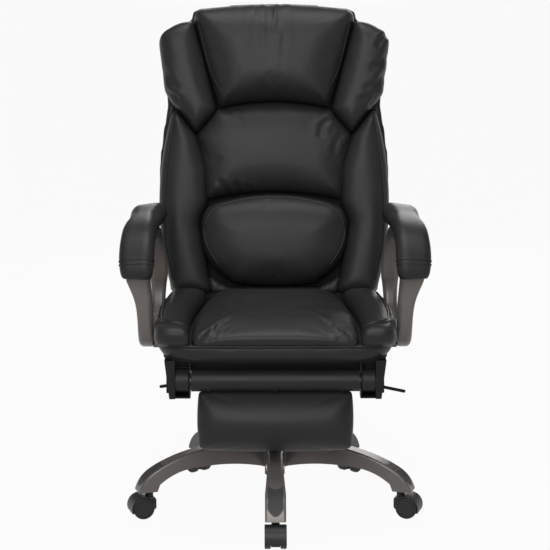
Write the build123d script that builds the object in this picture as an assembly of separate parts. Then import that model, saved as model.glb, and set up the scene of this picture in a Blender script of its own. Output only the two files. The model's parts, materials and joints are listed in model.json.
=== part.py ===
from build123d import *
import os
from collections import namedtuple
from math import cos, hypot, radians, sin, tan

# Reclining office chair with a stowed footrest.
# Millimetres. Origin on the floor under the gas lift, +Z up, the sitter faces -Y, sitter's left is +X.

# Clearances
RUNNING_GAP = 0.05      # radial, between a shaft and its bore
SEAT_GAP = 0.3          # between a piece and the recess that it sits in
SLIDE_GAP = 0.6         # each side of a sliding rail

# Five-star base
LEG_COUNT = 5
CASTER_CIRCLE_R = 301.0     # gas lift axis to a caster stem
LEG_UNDERSIDE_Z = 62.0      # floor to the underside of a leg's end
LEG_TOP_Z = 164.0           # top of the arch at the hub
LEG_ARCH_Z = 111.0          # highest point of the underside
LEG_CROWN_AT = 0.42         # places along a leg, as shares of the caster circle
LEG_WAIST_AT = 0.60
LEG_ARCH_END_AT = 0.62
LEG_SHOULDER_AT = 0.72
LEG_SHIN_AT = 0.80
LEG_KNEE_AT = 0.93
LEG_CROWN_DROP = 5.0        # the leg's top below its height at the hub
LEG_SHOULDER_DROP = 23.0
LEG_BROW_DROP = 57.0
LEG_BROW_SETBACK = 5.0      # end of the brow, short of the caster stem
LEG_ARCH_END_DROP = 2.0     # the leg's underside below its highest point
LEG_SHIN_DROP = 11.0
LEG_HEEL_H = 16.0
LEG_HEEL_LEAN = 6.0
LEG_ROOT_W = 50.0
LEG_WAIST_W = 36.0
LEG_END_W = 46.0
LEG_TIP_REACH = 29.0        # leg tip past the caster stem
LEG_HEEL_REACH = 14.0       # leg end's inner face, short of the caster stem
LEG_EDGE_R = 5.0
LEG_WALL = 4.5
LEG_SKIN = 6.0
RIB_T = 4.0
RIB_RADII = (135.0, 200.0)
HUB_D = 84.0
HUB_BOTTOM_Z = 96.0
HUB_TOP_Z = 170.0
HUB_FOOT_CHAMFER = 6.0
HUB_TOP_CHAMFER = 8.0
GRIP_PAD_W = 34.0
GRIP_PAD_L = 62.0
GRIP_PAD_T = 3.0
GRIP_PAD_SETBACK = 4.0      # pad's lower end, short of the leg's tip
GRIP_PAD_NOTCH = 10.0       # hollow in the pad's upper edge
GRIP_PAD_NOSE = 9.0         # round of the pad's lower end

# Twin-wheel casters
WHEEL_D = 49.0
WHEEL_W = 13.5
WHEEL_SPACE = 21.0          # between the two wheels
CASTER_TRAIL = 18.0         # stem to axle
AXLE_D = 6.0
HOOD_WALL = 2.6
HOOD_CLEAR = 1.3            # hood to the tread
HOOD_LOW_Z = 15.0           # lowest edge of the hood, behind the wheels
HOOD_NOSE = 14.0            # hood in front of the stem
HOOD_NOSE_H = 29.5
HOOD_NOSE_DROP = 3.0        # top of the nose below the top of the wheels
HOOD_BROW = 3.5             # front edge of the hood, below the top of the wheels
HOOD_SIDE_GAP = 0.6         # web to the wheels
WHEEL_EDGE_R = 2.5
WHEEL_RIM_W = 4.0
WHEEL_GROOVE_W = 3.0
WHEEL_GROOVE_T = 1.2
NECK_D = 18.0
STEM_D = 11.0
STEM_DEPTH = 22.0           # stem inside the leg
PIVOT_D = 8.0               # stem inside the hood
PIVOT_DEPTH = 24.0
STEM_FLANGE_T = 2.0

# Gas lift and its cover
LIFT_TUBE_D = 50.0
LIFT_TUBE_WALL = 2.5
LIFT_TUBE_TOP_Z = 288.0
LIFT_TUBE_BOTTOM_Z = 72.0
LIFT_FLOOR_T = 6.0
LIFT_TAPER = 1.5            # degrees, seat in the hub
LIFT_STROKE = 85.0
GAS_D = 28.0
GAS_WALL = 2.0
GAS_GLAND_T = 12.0
GAS_FOOT_GAP = 22.0         # gas cylinder above the thrust bearing, seat at its lowest
GAS_HEAD_T = 34.0
PISTON_ROD_D = 10.0
PISTON_T = 14.0
SPIGOT_D = 8.0
BEARING_D = 24.0
BEARING_T = 6.0
BUSH_L = 80.0
VALVE_D = 8.0
VALVE_L = 18.0
VALVE_PROUD = 6.0
COVER_WALL = 2.0
COVER_OVERLAP = 10.0        # sleeves still inside each other at full height

# Seat
SEAT_BOARD_Z = 402.0        # underside, seat at its lowest
SEAT_BOARD_T = 12.0
SEAT_FRONT_Y = -283.0
SEAT_REAR_Y = 200.0
SEAT_FRONT_HALF_W = 262.0
SEAT_REAR_HALF_W = 243.0
SEAT_SIDE_BULGE = 14.0
SEAT_FRONT_R = 78.0         # plan corners
SEAT_REAR_R = 35.0
SEAT_FRONT_BULGE = 4.0
SEAT_BOARD_INSET = 15.0
BORDER_H = 36.0
BORDER_TUCK = 6.0           # border drawn in at the board, and at the cushions' seam
BORDER_TOP_TUCK = 4.0
CUSHION_REAR_Y = 158.0
CUSHION_FRONT_HALF_W = 180.0
CUSHION_REAR_HALF_W = 156.0
CUSHION_H = 45.0
CUSHION_REACH = 92.0        # edge to the flat of the crown
CUSHION_FRONT_R = 16.0
CUSHION_REAR_R = 18.0
BOLSTER_H = 46.0
BOLSTER_REACH = 30.0
BOLSTER_FRONT_R = 62.0
BOLSTER_INNER_R = 8.0
CUSHION_SEAM = 4.0          # between two neighbouring cushions

# Seat mechanism and levers
PLATE_T = 3.0
PLATE_HALF_X = 98.0
PLATE_FRONT_Y = -105.0
PLATE_REAR_Y = 100.0
HOUSING_HALF_X = 46.0
HOUSING_FRONT_Y = -90.0
HOUSING_REAR_Y = 84.0
HOUSING_H = 54.0
HOUSING_WALL = 2.5
SOCKET_D = 40.0
BOLT_D = 6.0
BOLT_HEAD_D = 11.0
BOLT_HEAD_H = 5.5
LEVER_D = 7.6
LEVER_BEND_R = 30.0
LEVER_HUB_D = 14.0
LEVER_HUB_W = 11.0
LEVER_PIN_D = 5.0
LEVER_PIVOT_X = 55.0
LEVER_PIVOT_DROP = 16.0     # below the seat board
EAR_T = 3.0
TONGUE_T = 4.0
TONGUE_W = 8.0
TONGUE_LIFT = 0.3           # tongue above the valve button
LIFT_LEVER_END = (-262.0, 280.0)
LIFT_LEVER_ELBOW = (-186.0, 292.0)
RECLINE_LEVER_END = (301.0, 258.0)
RECLINE_LEVER_ELBOW = (196.0, 280.0)
RECLINE_LEVER_Y = 40.0

# Recline hinge and locking gas spring
PIVOT_Y = 218.0
PIVOT_Z = 387.0
BACK_TILT = 10.0            # degrees from upright
RECLINE_ANGLE = 35.0        # degrees
HINGE_X = 155.0             # parting plane between the seat plate and the back arm
HINGE_PLATE_T = 5.0
HINGE_BOSS_R = 16.0
HINGE_FLANGE_W = 34.0
HINGE_FLANGE_FRONT = 120.0  # ahead of the pivot
HINGE_FLANGE_REAR = 38.0
HINGE_WEB_BEND = 70.0
HINGE_WEB_H = 14.0
HINGE_ARM_UP = 150.0
SHAFT_D = 16.0
CRANK_R = 60.0
CRANK_PIN_D = 8.0
CRANK_CHEEK_T = 5.0
SPRING_D = 22.0
SPRING_FRONT_Y = 58.0
SPRING_L = 118.0
SPRING_ROD_D = 10.0
ROD_EYE_W = 13.0
ROD_EYE_R = 10.0

# Back: heights are up along the front of the board, from its foot
PIVOT_DROP = 40.0           # foot of the board above the pivot
PIVOT_SETBACK = 20.0        # board front ahead of the pivot
BACK_BOARD_T = 12.0
BACK_BOARD_INSET = 16.0
COVER_DEPTH = 46.0
BACK_FOOT = 22.0
BACK_FOOT_R = 18.0
HIP_HALF_W = 249.0
HIP_BULGE = 24.0
WAIST_UP = 478.0
WAIST_HALF_W = 256.0
WAIST_R = 40.0
WING_UP = 653.0
WING_HALF_W = 279.0
WING_R = 36.0
NECK_UP = 681.0
HEAD_TOP_UP = 706.0
HEAD_TOP_R = 26.0
HEAD_TOP_BULGE = 15.0
HEAD_TOP_HALF_W = 198.0
HEAD_FOOT_UP = 468.0
HEAD_FOOT_HALF_W = 131.0
HEAD_ARCH = 9.0
HEAD_H = 92.0
WING_TIP = (186.0, 407.0)
WING_H = 72.0
BACK_CUSHION_H = 66.0
SIDE_BOLSTER_H = 66.0
SIDE_BOLSTER_FOOT = 28.0
SIDE_BOLSTER_INNER = 154.0
LUMBAR_TOP_UP = 244.0
LUMBAR_WIDE_UP = 194.0
LUMBAR_FOOT_UP = 51.0
LUMBAR_HALF_W = 174.0
LUMBAR_TOP_HALF_W = 138.0
LUMBAR_FOOT_HALF_W = 98.0
LUMBAR_ARCH = 19.0
LUMBAR_SIDE_BULGE = 22.0
LUMBAR_H = 100.0
LOWER_PANEL_H = 46.0
HEAD_REACH = 84.0           # each cushion's edge to the flat of its crown
WING_REACH = 36.0
BACK_CUSHION_REACH = 78.0
SIDE_BOLSTER_REACH = 32.0
LUMBAR_REACH = 74.0
LOWER_PANEL_REACH = 5.0

# Arms
ARM_PAD_W = 77.0
ARM_PAD_T = 42.0
ARM_PAD_X = 302.0           # middle of the pad's front
ARM_PAD_TOE_OUT = 14.0      # the pad's rear end stands this much nearer to the seat
ARM_PAD_ROLL = 8.0          # degrees, outer edge lower
ARM_PAD_ROUND = 0.47        # corner radius as a share of the thickness
ARM_PAD_REAR_Y = 124.0
ARM_PAD_TAPER_L = 18.0      # rear end, from its full section to its tip
ARM_PAD_KNUCKLE_Y = -150.0  # where the pad turns down
ARM_PAD_KNUCKLE_DROP = 36.0
ARM_PAD_NOSE_Y = -178.0
ARM_PAD_NOSE_DROP = 78.0
ARM_PAD_END_DROP = 98.0
ARM_PAD_END_TRIM = 13.0     # off the width and the thickness at the front end
ARM_TOP_Z = 645.0           # underside of the pad
ARM_FOOT_Z = 392.0
ARM_BAR_T = 28.0
ARM_BAR_ROUND = 0.36        # corner radius as a share of the thickness
ARM_TOP_BAR_T = 20.0
ARM_BAR_W = 35.0
ARM_HEAD_W = 57.0           # front post, flared under the pad
ARM_CROOK_Y = -96.0         # front run: crook, shoulder, flared head, waist, ankle, toe
ARM_CROOK_DROP = 8.0
ARM_SHOULDER_Y = -138.0
ARM_SHOULDER_DROP = 35.0
ARM_POST_Y = -150.0
ARM_POST_DROP = 78.0
ARM_WAIST_Y = -143.0
ARM_WAIST_UP = 104.0
ARM_WAIST_SETBACK = 12.0    # waist nearer to the seat than the pad
ARM_ANKLE_Y = -128.0
ARM_ANKLE_UP = 44.0
ARM_TOE_Y = -98.0
ARM_TOE_UP = 9.0
ARM_SOLE_FRONT_Y = -60.0    # the loop runs level between these two
ARM_SOLE_REAR_Y = 40.0
ARM_FOOT_X = 287.0
ARM_REAR_X = 273.0          # rear run: heel, calf, post, nape, bend
ARM_REAR_W = 31.0
ARM_REAR_POST_W = 40.0
ARM_HEEL_Y = 80.0
ARM_HEEL_UP = 5.0
ARM_CALF_Y = 116.0
ARM_CALF_UP = 34.0
ARM_REAR_POST_Y = 128.0
ARM_NAPE_Y = 122.0
ARM_NAPE_DROP = 58.0
ARM_BEND_Y = 96.0
ARM_BEND_DROP = 15.0
LUG_T = 8.0
LUG_R = 10.0
LUG_W = 34.0
LUG_INNER_X = 229.0
LUG_YS = (-75.0, 68.0)
ARM_BOLT_X = 238.0

# Footrest
ROLLER_Y = -232.0
ROLLER_Z = 353.0
ROLLER_D = 49.0
ROLLER_HALF_L = 183.0
ROLLER_WALL = 3.0
HINGE_ROD_D = 12.0
DRUM_D = 51.0
DRUM_W = 29.0
BRACKET_T = 3.0
BRACKET_TOP_HALF = 240.0
BRACKET_FOOT_HALF = 230.0
BRACKET_FOOT_Z = 316.0
BRACKET_DEPTH = 44.0
RAIL_X = 209.0
RAIL_W = 24.0
RAIL_H = 20.0
RAIL_WALL = 2.0
RAIL_REAR_Y = 98.0
CROSS_PLATE_T = 3.0
CROSS_PLATE_H = 30.0
CROSS_PLATE_SETBACK = 4.5   # behind the rails' front ends
GUIDE_WALL = 3.0
GUIDE_LIP = 6.0
GUIDE_FRONT_Y = -204.0
GUIDE_REAR_Y = 120.0
FOOT_PAD_HALF_W = 167.0
FOOT_PAD_TOP_Z = 327.0
FOOT_PAD_TOP_R = 5.0
FOOT_PAD_FOOT_R = 14.0
FOOT_PAD_REACH = 58.0
FOOT_PAD_FOOT_Z = 196.0
FOOT_PAD_T = 42.0
FOOT_BOARD_T = 8.0
FOOT_BOARD_INSET = 6.0
FOOT_BOARD_SETBACK = 10.0   # board front behind the roller axis
FLANGE_T = 3.0
FLANGE_HALF_L = 150.0
FLANGE_DROP = 62.0

# Values worked out from the sizes above
SEAT_TOP_Z = SEAT_BOARD_Z + BORDER_H
PLATE_Z = SEAT_BOARD_Z - PLATE_T
HOUSING_Z = PLATE_Z - HOUSING_H
LEVER_PIVOT_Z = SEAT_BOARD_Z - LEVER_PIVOT_DROP
TONGUE_Z = LEVER_PIVOT_Z + TONGUE_T
VALVE_TOP_Z = TONGUE_Z - TONGUE_LIFT
GAS_TOP_Z = VALVE_TOP_Z - VALVE_PROUD
LIFT_BEARING_TOP_Z = LIFT_TUBE_BOTTOM_Z + LIFT_FLOOR_T + BEARING_T
GAS_FOOT_Z = LIFT_BEARING_TOP_Z + GAS_FOOT_GAP
CRANK_LEAN = RECLINE_ANGLE / 2
PIN_Y = PIVOT_Y + CRANK_R * sin(radians(CRANK_LEAN))
PIN_Z = PIVOT_Z - CRANK_R * cos(radians(CRANK_LEAN))
PIN_DIP = CRANK_R * (1 - cos(radians(CRANK_LEAN)))
SPRING_Z = PIN_Z - PIN_DIP / 2
RAIL_TOP_Z = SEAT_BOARD_Z - GUIDE_WALL - SLIDE_GAP
BRACKET_TOP_Z = RAIL_TOP_Z + BRACKET_T
RAIL_FRONT_Y = ROLLER_Y + BRACKET_DEPTH / 2 - BRACKET_T

TILT = radians(BACK_TILT)
BACK = Plane(
    origin=(0,
            PIVOT_Y + PIVOT_DROP * sin(TILT) - PIVOT_SETBACK * cos(TILT),
            PIVOT_Z + PIVOT_DROP * cos(TILT) + PIVOT_SETBACK * sin(TILT)),
    x_dir=(1, 0, 0),
    z_dir=(0, -cos(TILT), sin(TILT)),
)
SEAT = Plane(origin=(0, 0, SEAT_TOP_Z), x_dir=(1, 0, 0), z_dir=(0, 0, 1))
SEAT_FLOOR = Plane(origin=(0, 0, SEAT_BOARD_Z), x_dir=(1, 0, 0), z_dir=(0, 0, 1))
FOOT = Plane(origin=(0, ROLLER_Y + FOOT_BOARD_SETBACK, 0), x_dir=(1, 0, 0), z_dir=(0, -1, 0))

Outline = namedtuple("Outline", "corners radii bulges")


# Shapes that several pieces share

def block(x0, x1, y0, y1, z0, z1):
    """Box between two corners."""
    size = Box(x1 - x0, y1 - y0, z1 - z0)
    return Pos((x0 + x1) / 2, (y0 + y1) / 2, (z0 + z1) / 2) * size


def rod_x(x0, x1, y, z, diameter):
    """Round bar along X."""
    bar = Rot(0, 90, 0) * Cylinder(diameter / 2, x1 - x0)
    return Pos((x0 + x1) / 2, y, z) * bar


def rod_y(y0, y1, x, z, diameter):
    """Round bar along Y."""
    bar = Rot(90, 0, 0) * Cylinder(diameter / 2, y1 - y0)
    return Pos(x, (y0 + y1) / 2, z) * bar


def rod_z(z0, z1, diameter, x=0.0, y=0.0):
    """Round bar along Z."""
    return Pos(x, y, (z0 + z1) / 2) * Cylinder(diameter / 2, z1 - z0)


def turned(*profile):
    """Solid of revolution about Z from (radius, height) corners."""
    return revolve(make_face(Plane.XZ * Polyline(*profile, close=True)), Axis.Z)


def cut_yz(x0, x1, sketch):
    """Sketch drawn in Y and Z, carried from x0 to x1."""
    return extrude(Plane(origin=(x0, 0, 0), x_dir=(0, 1, 0), z_dir=(1, 0, 0)) * sketch, x1 - x0)


def mirrored(solid):
    """The same piece on the sitter's right."""
    return mirror(solid, about=Plane.YZ)


def distance(a, b):
    """Length of the chord between two points of an outline."""
    return hypot(b[0] - a[0], b[1] - a[1])


def unit(a, b):
    """Direction from a to b."""
    length = distance(a, b)
    return ((b[0] - a[0]) / length, (b[1] - a[1]) / length)


def inset_corners(corners, inset):
    """Corners of an anticlockwise outline after each side has moved inwards."""
    moved = []
    for i, corner in enumerate(corners):
        before = unit(corners[i - 1], corner)
        after = unit(corner, corners[(i + 1) % len(corners)])
        step = inset / (1 + before[0] * after[0] + before[1] * after[1])
        moved.append((corner[0] - step * (before[1] + after[1]),
                      corner[1] + step * (before[0] + after[0])))
    return moved


def ring(plane, outline, inset, height):
    """Closed wire of bulged sides and rounded corners, moved inwards by inset at a height on a plane."""
    corners = inset_corners(outline.corners, inset)
    count = len(corners)
    rounds = []
    for i, corner in enumerate(corners):
        before = unit(corners[i - 1], corner)
        after = unit(corner, corners[(i + 1) % count])
        cross = before[0] * after[1] - before[1] * after[0]
        cos_half = ((1 + before[0] * after[0] + before[1] * after[1]) / 2) ** 0.5
        radius = outline.radii[i]
        if cross > 0:
            radius = max(radius - inset, 0.3 * radius)
        tan_half = (1 - cos_half ** 2) ** 0.5 / cos_half
        room = min(distance(corners[i - 1], corner), distance(corner, corners[(i + 1) % count]))
        trim = min(radius * tan_half, 0.46 * room)
        radius = trim / tan_half
        lean = hypot(after[0] - before[0], after[1] - before[1])
        depth = radius / cos_half - radius
        rounds.append((
            (corner[0] - before[0] * trim, corner[1] - before[1] * trim),
            (corner[0] + (after[0] - before[0]) / lean * depth,
             corner[1] + (after[1] - before[1]) / lean * depth),
            (corner[0] + after[0] * trim, corner[1] + after[1] * trim),
        ))

    def place(point):
        return plane.from_local_coords(Vector(point[0], point[1], height))

    edges = []
    for i, (start, middle, end) in enumerate(rounds):
        edges.append(Edge.make_three_point_arc(place(start), place(middle), place(end)))
        following = rounds[(i + 1) % count][0]
        drawn = distance(outline.corners[i], outline.corners[(i + 1) % count])
        bulge = outline.bulges[i] * distance(corners[i], corners[(i + 1) % count]) / drawn
        if bulge == 0:
            edges.append(Edge.make_line(place(end), place(following)))
            continue
        along = unit(end, following)
        crest = ((end[0] + following[0]) / 2 + along[1] * bulge,
                 (end[1] + following[1]) / 2 - along[0] * bulge)
        edges.append(Edge.make_three_point_arc(place(end), place(crest), place(following)))
    return Wire(edges)


# A cushion's section from its seam to its crown, as shares of its reach inwards and of its height:
# drawn in at the seam, widest a third of the way up, crowned over the middle.
PILLOW_SECTION = ((0.05, 0.0), (0.0, 0.30), (0.07, 0.59), (0.25, 0.81), (0.52, 0.93), (0.78, 0.985), (1.0, 1.0))


def pillow(plane, outline, reach, height):
    """Crowned cushion on a plane."""
    return Solid.make_loft([ring(plane, outline, reach * across, height * up)
                            for across, up in PILLOW_SECTION])


def slab(plane, outline, inset, low, high):
    """Flat sheet with the outline moved inwards, between two heights on a plane."""
    face = Face(ring(plane, outline, inset, low))
    return Solid.extrude(face, plane.z_dir * (high - low))


# Base

def leg_tip():
    return CASTER_CIRCLE_R + LEG_TIP_REACH


def leg_heel():
    return CASTER_CIRCLE_R - LEG_HEEL_REACH


def along_leg(share, z):
    """Point at a share of the caster circle and a height."""
    return (share * CASTER_CIRCLE_R, z)


def leg_side():
    """Arched leg seen from the side, in radius and height."""
    end_z = LEG_UNDERSIDE_Z
    crown = ThreePointArc((HUB_D / 4, LEG_TOP_Z), along_leg(LEG_CROWN_AT, LEG_TOP_Z - LEG_CROWN_DROP),
                          along_leg(LEG_SHOULDER_AT, LEG_TOP_Z - LEG_SHOULDER_DROP))
    brow_end = (CASTER_CIRCLE_R - LEG_BROW_SETBACK, LEG_TOP_Z - LEG_BROW_DROP)
    brow = TangentArc(crown @ 1, brow_end, tangent=crown % 1)
    nose = TangentArc(brow @ 1, (leg_tip(), end_z), tangent=brow % 1)
    sole = Line((leg_tip(), end_z), (leg_heel(), end_z))
    heel = Line((leg_heel(), end_z), (leg_heel() - LEG_HEEL_LEAN, end_z + LEG_HEEL_H))
    shin = ThreePointArc(heel @ 1, along_leg(LEG_SHIN_AT, LEG_ARCH_Z - LEG_SHIN_DROP),
                         along_leg(LEG_ARCH_END_AT, LEG_ARCH_Z - LEG_ARCH_END_DROP))
    arch = ThreePointArc(shin @ 1, along_leg(LEG_CROWN_AT, LEG_ARCH_Z), (HUB_D / 4, HUB_BOTTOM_Z))
    root = Line(arch @ 1, crown @ 0)
    return make_face(Curve() + [crown, brow, nose, sole, heel, shin, arch, root])


def leg_plan(inset, inner, outer):
    """Waisted leg seen from above, between two radii."""
    root, waist, end = (w / 2 - inset for w in (LEG_ROOT_W, LEG_WAIST_W, LEG_END_W))
    knee = LEG_KNEE_AT * CASTER_CIRCLE_R
    side = ThreePointArc((inner, root), along_leg(LEG_WAIST_AT, waist), (knee, end))
    other = ThreePointArc((inner, -root), along_leg(LEG_WAIST_AT, -waist), (knee, -end))
    tip = Polyline((knee, end), (outer, end), (outer, -end), (knee, -end))
    back = Line((inner, root), (inner, -root))
    return make_face(Curve() + [side, other, tip, back])


def leg_prism(side):
    """Side view carried across the leg, along the local +X radius."""
    return extrude(Plane.XZ * side, LEG_END_W, both=True)


def leg_body():
    """Leg along +X before its hollow and its grip pad are cut."""
    plan = leg_plan(0, HUB_D / 4, leg_tip() + 1)
    tower = extrude(plan, LEG_TOP_Z + LEG_SKIN)
    solid = leg_prism(leg_side()) & tower
    top_edges = solid.edges().filter_by(
        lambda e: abs((e @ 0.5).Y) > LEG_WAIST_W / 4
        and (e @ 0.5).Z > LEG_UNDERSIDE_Z + 8 and e.length > 30 and (e @ 0.5).Z > leg_middle((e @ 0.5).X))
    return fillet(top_edges, LEG_EDGE_R)


def leg_middle(radius):
    """Height between the leg's underside and its top, to tell the two apart."""
    share = min(max(radius / CASTER_CIRCLE_R, 0), 1)
    return LEG_ARCH_Z + 0.35 * (LEG_TOP_Z - LEG_ARCH_Z) - (LEG_ARCH_Z - LEG_UNDERSIDE_Z) * share ** 3


def leg_hollow():
    """Open channel under the leg, crossed by ribs."""
    inner, outer = HUB_D / 2 + LEG_WALL, leg_heel() - LEG_WALL
    plan = make_face(Polyline((inner, LEG_ROOT_W / 2 - 2 * LEG_WALL), (inner, -LEG_ROOT_W / 2 + 2 * LEG_WALL),
                              along_leg(LEG_WAIST_AT, -LEG_WAIST_W / 2 + LEG_WALL),
                              (outer, -LEG_END_W / 2 + 2 * LEG_WALL), (outer, LEG_END_W / 2 - 2 * LEG_WALL),
                              along_leg(LEG_WAIST_AT, LEG_WAIST_W / 2 - LEG_WALL), close=True))
    lowered = Pos(0, 0, -LEG_SKIN) * leg_prism(leg_side())
    channel = lowered & extrude(plan, LEG_TOP_Z)
    for radius in RIB_RADII:
        channel -= block(radius - RIB_T / 2, radius + RIB_T / 2, -LEG_END_W, LEG_END_W, 0, LEG_TOP_Z)
    return channel


def grip_pad(leg, spare):
    """Pad let into the top of the leg's end, with a hollowed upper edge; spare widens its recess."""
    half = GRIP_PAD_W / 2 + spare
    outer = leg_tip() - GRIP_PAD_SETBACK + spare
    inner = outer - GRIP_PAD_L - 4 * spare
    upper = ThreePointArc((inner, -half), (inner + GRIP_PAD_NOTCH, 0), (inner, half))
    lower = ThreePointArc((outer - GRIP_PAD_NOSE, half), (outer, 0), (outer - GRIP_PAD_NOSE, -half))
    sides = [Line(upper @ 1, lower @ 0), Line(lower @ 1, upper @ 0)]
    column = extrude(make_face(Curve() + [upper, lower] + sides), LEG_TOP_Z + LEG_SKIN)
    depth = GRIP_PAD_T + spare
    core = Pos(-depth, 0, -depth) * leg_prism(leg_side())
    top = (leg & column) - core
    return max(top.solids(), key=lambda s: s.volume)


def around(solid, angles):
    """Copies of a solid turned about Z."""
    return [Rot(0, 0, angle) * solid for angle in angles]


LEG_ANGLES = [-90 + i * 360 / LEG_COUNT for i in range(LEG_COUNT)]


def hub_bore_r(z):
    """Radius of the lift tube's taper in the hub."""
    return LIFT_TUBE_D / 2 - (HUB_TOP_Z - z) * tan(radians(LIFT_TAPER))


def base_pieces():
    leg = leg_body()
    pad = grip_pad(leg, 0)
    stem_hole = rod_z(LEG_UNDERSIDE_Z - 1, LEG_UNDERSIDE_Z + STEM_DEPTH + 1, STEM_D + 2 * RUNNING_GAP,
                      CASTER_CIRCLE_R)
    leg = leg - leg_hollow() - grip_pad(leg, SEAT_GAP / 3) - stem_hole
    hub = turned((0, HUB_BOTTOM_Z), (HUB_D / 2 - HUB_FOOT_CHAMFER, HUB_BOTTOM_Z),
                 (HUB_D / 2, HUB_BOTTOM_Z + HUB_FOOT_CHAMFER), (HUB_D / 2, HUB_TOP_Z - HUB_TOP_CHAMFER),
                 (HUB_D / 2 - HUB_TOP_CHAMFER, HUB_TOP_Z), (0, HUB_TOP_Z))
    star = hub
    for copy in around(leg, LEG_ANGLES):
        star = star + copy
    low, high = HUB_BOTTOM_Z - 1, HUB_TOP_Z + 1
    bore = turned((0, low), (hub_bore_r(low) + RUNNING_GAP, low), (hub_bore_r(high) + RUNNING_GAP, high),
                  (0, high))
    flange_top = LEG_UNDERSIDE_Z
    stem = rod_z(flange_top - STEM_FLANGE_T - PIVOT_DEPTH, flange_top, PIVOT_D)
    stem += rod_z(flange_top - STEM_FLANGE_T, flange_top, NECK_D - 2)
    stem += rod_z(flange_top - STEM_FLANGE_T, flange_top + STEM_DEPTH, STEM_D)
    return {
        "base_star": star - bore,
        "leg_grip_pads": Compound(children=around(pad, LEG_ANGLES)),
        "caster_stems": Compound(children=around(Pos(CASTER_CIRCLE_R, 0, 0) * stem, LEG_ANGLES)),
    }


# Casters, drawn with the stem on Z and the wheels trailing along +X

def caster_hood():
    """Hood that runs over both wheels, with a web between them for the stem and the axle."""
    wheel_z = WHEEL_D / 2
    inner = wheel_z + HOOD_CLEAR
    outer = inner + HOOD_WALL
    full_w = WHEEL_SPACE + 2 * WHEEL_W
    web_w = WHEEL_SPACE - 2 * HOOD_SIDE_GAP
    neck_top = LEG_UNDERSIDE_Z - STEM_FLANGE_T - SEAT_GAP
    fender = rod_y(-full_w / 2, full_w / 2, CASTER_TRAIL, wheel_z, 2 * outer)
    fender -= rod_y(-full_w, full_w, CASTER_TRAIL, wheel_z, 2 * inner)
    fender -= block(-outer, 2 * outer + CASTER_TRAIL, -full_w, full_w, -outer, HOOD_LOW_Z)
    fender -= block(-2 * outer, NECK_D / 2 - 4, -full_w, full_w, -outer, WHEEL_D - HOOD_BROW)
    web = rod_y(-web_w / 2, web_w / 2, CASTER_TRAIL, wheel_z, 2 * outer - 1)
    web -= block(-outer, 2 * outer + CASTER_TRAIL, -full_w, full_w, -outer, HOOD_LOW_Z - 4)
    nose_top = WHEEL_D - HOOD_NOSE_DROP
    nose = block(-HOOD_NOSE, CASTER_TRAIL, -web_w / 2, web_w / 2, nose_top - HOOD_NOSE_H, nose_top)
    nose = fillet(nose.edges().filter_by(Axis.Y).group_by(Axis.X)[0], HOOD_NOSE / 2)
    neck = rod_z(wheel_z, neck_top, NECK_D)
    hood = fender + web + nose + neck
    pivot_floor = LEG_UNDERSIDE_Z - STEM_FLANGE_T - PIVOT_DEPTH - 0.5
    hood -= rod_z(pivot_floor, neck_top + 1, PIVOT_D + 2 * RUNNING_GAP)
    return hood - rod_y(-full_w, full_w, CASTER_TRAIL, wheel_z, AXLE_D + 2 * RUNNING_GAP)


def caster_wheel():
    """Left wheel: rounded tread, dished outer face, blind bore for the axle."""
    radius = WHEEL_D / 2
    half = WHEEL_W / 2
    wheel = Cylinder(radius, WHEEL_W)
    wheel = fillet(wheel.edges().filter_by(GeomType.CIRCLE), WHEEL_EDGE_R)
    groove_r = radius - WHEEL_RIM_W
    wheel -= Pos(0, 0, half) * (Cylinder(groove_r, 2 * WHEEL_GROOVE_T)
                                - Cylinder(groove_r - WHEEL_GROOVE_W, 2 * WHEEL_GROOVE_T))
    wheel -= Pos(0, 0, -2) * Cylinder(AXLE_D / 2 + RUNNING_GAP / 2, WHEEL_W)
    side = WHEEL_SPACE / 2 + half
    return Pos(CASTER_TRAIL, side, radius) * (Rot(-90, 0, 0) * wheel)


def caster_pieces():
    """A hood and a wheel set for each leg."""
    hood = caster_hood()
    wheel = caster_wheel()
    reach = WHEEL_SPACE / 2 + WHEEL_W - 2.2
    axle = rod_y(-reach, reach, CASTER_TRAIL, WHEEL_D / 2, AXLE_D)
    wheels = [wheel, mirror(wheel, about=Plane.XZ), axle]
    pieces = {}
    for number, angle in enumerate(LEG_ANGLES, start=1):
        turn = Rot(0, 0, angle) * Pos(CASTER_CIRCLE_R, 0, 0)
        pieces[f"caster_hood_{number}"] = turn * hood
        pieces[f"caster_wheels_{number}"] = Compound(children=[turn * each for each in wheels])
    return pieces


# Gas lift and its telescopic cover

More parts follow.
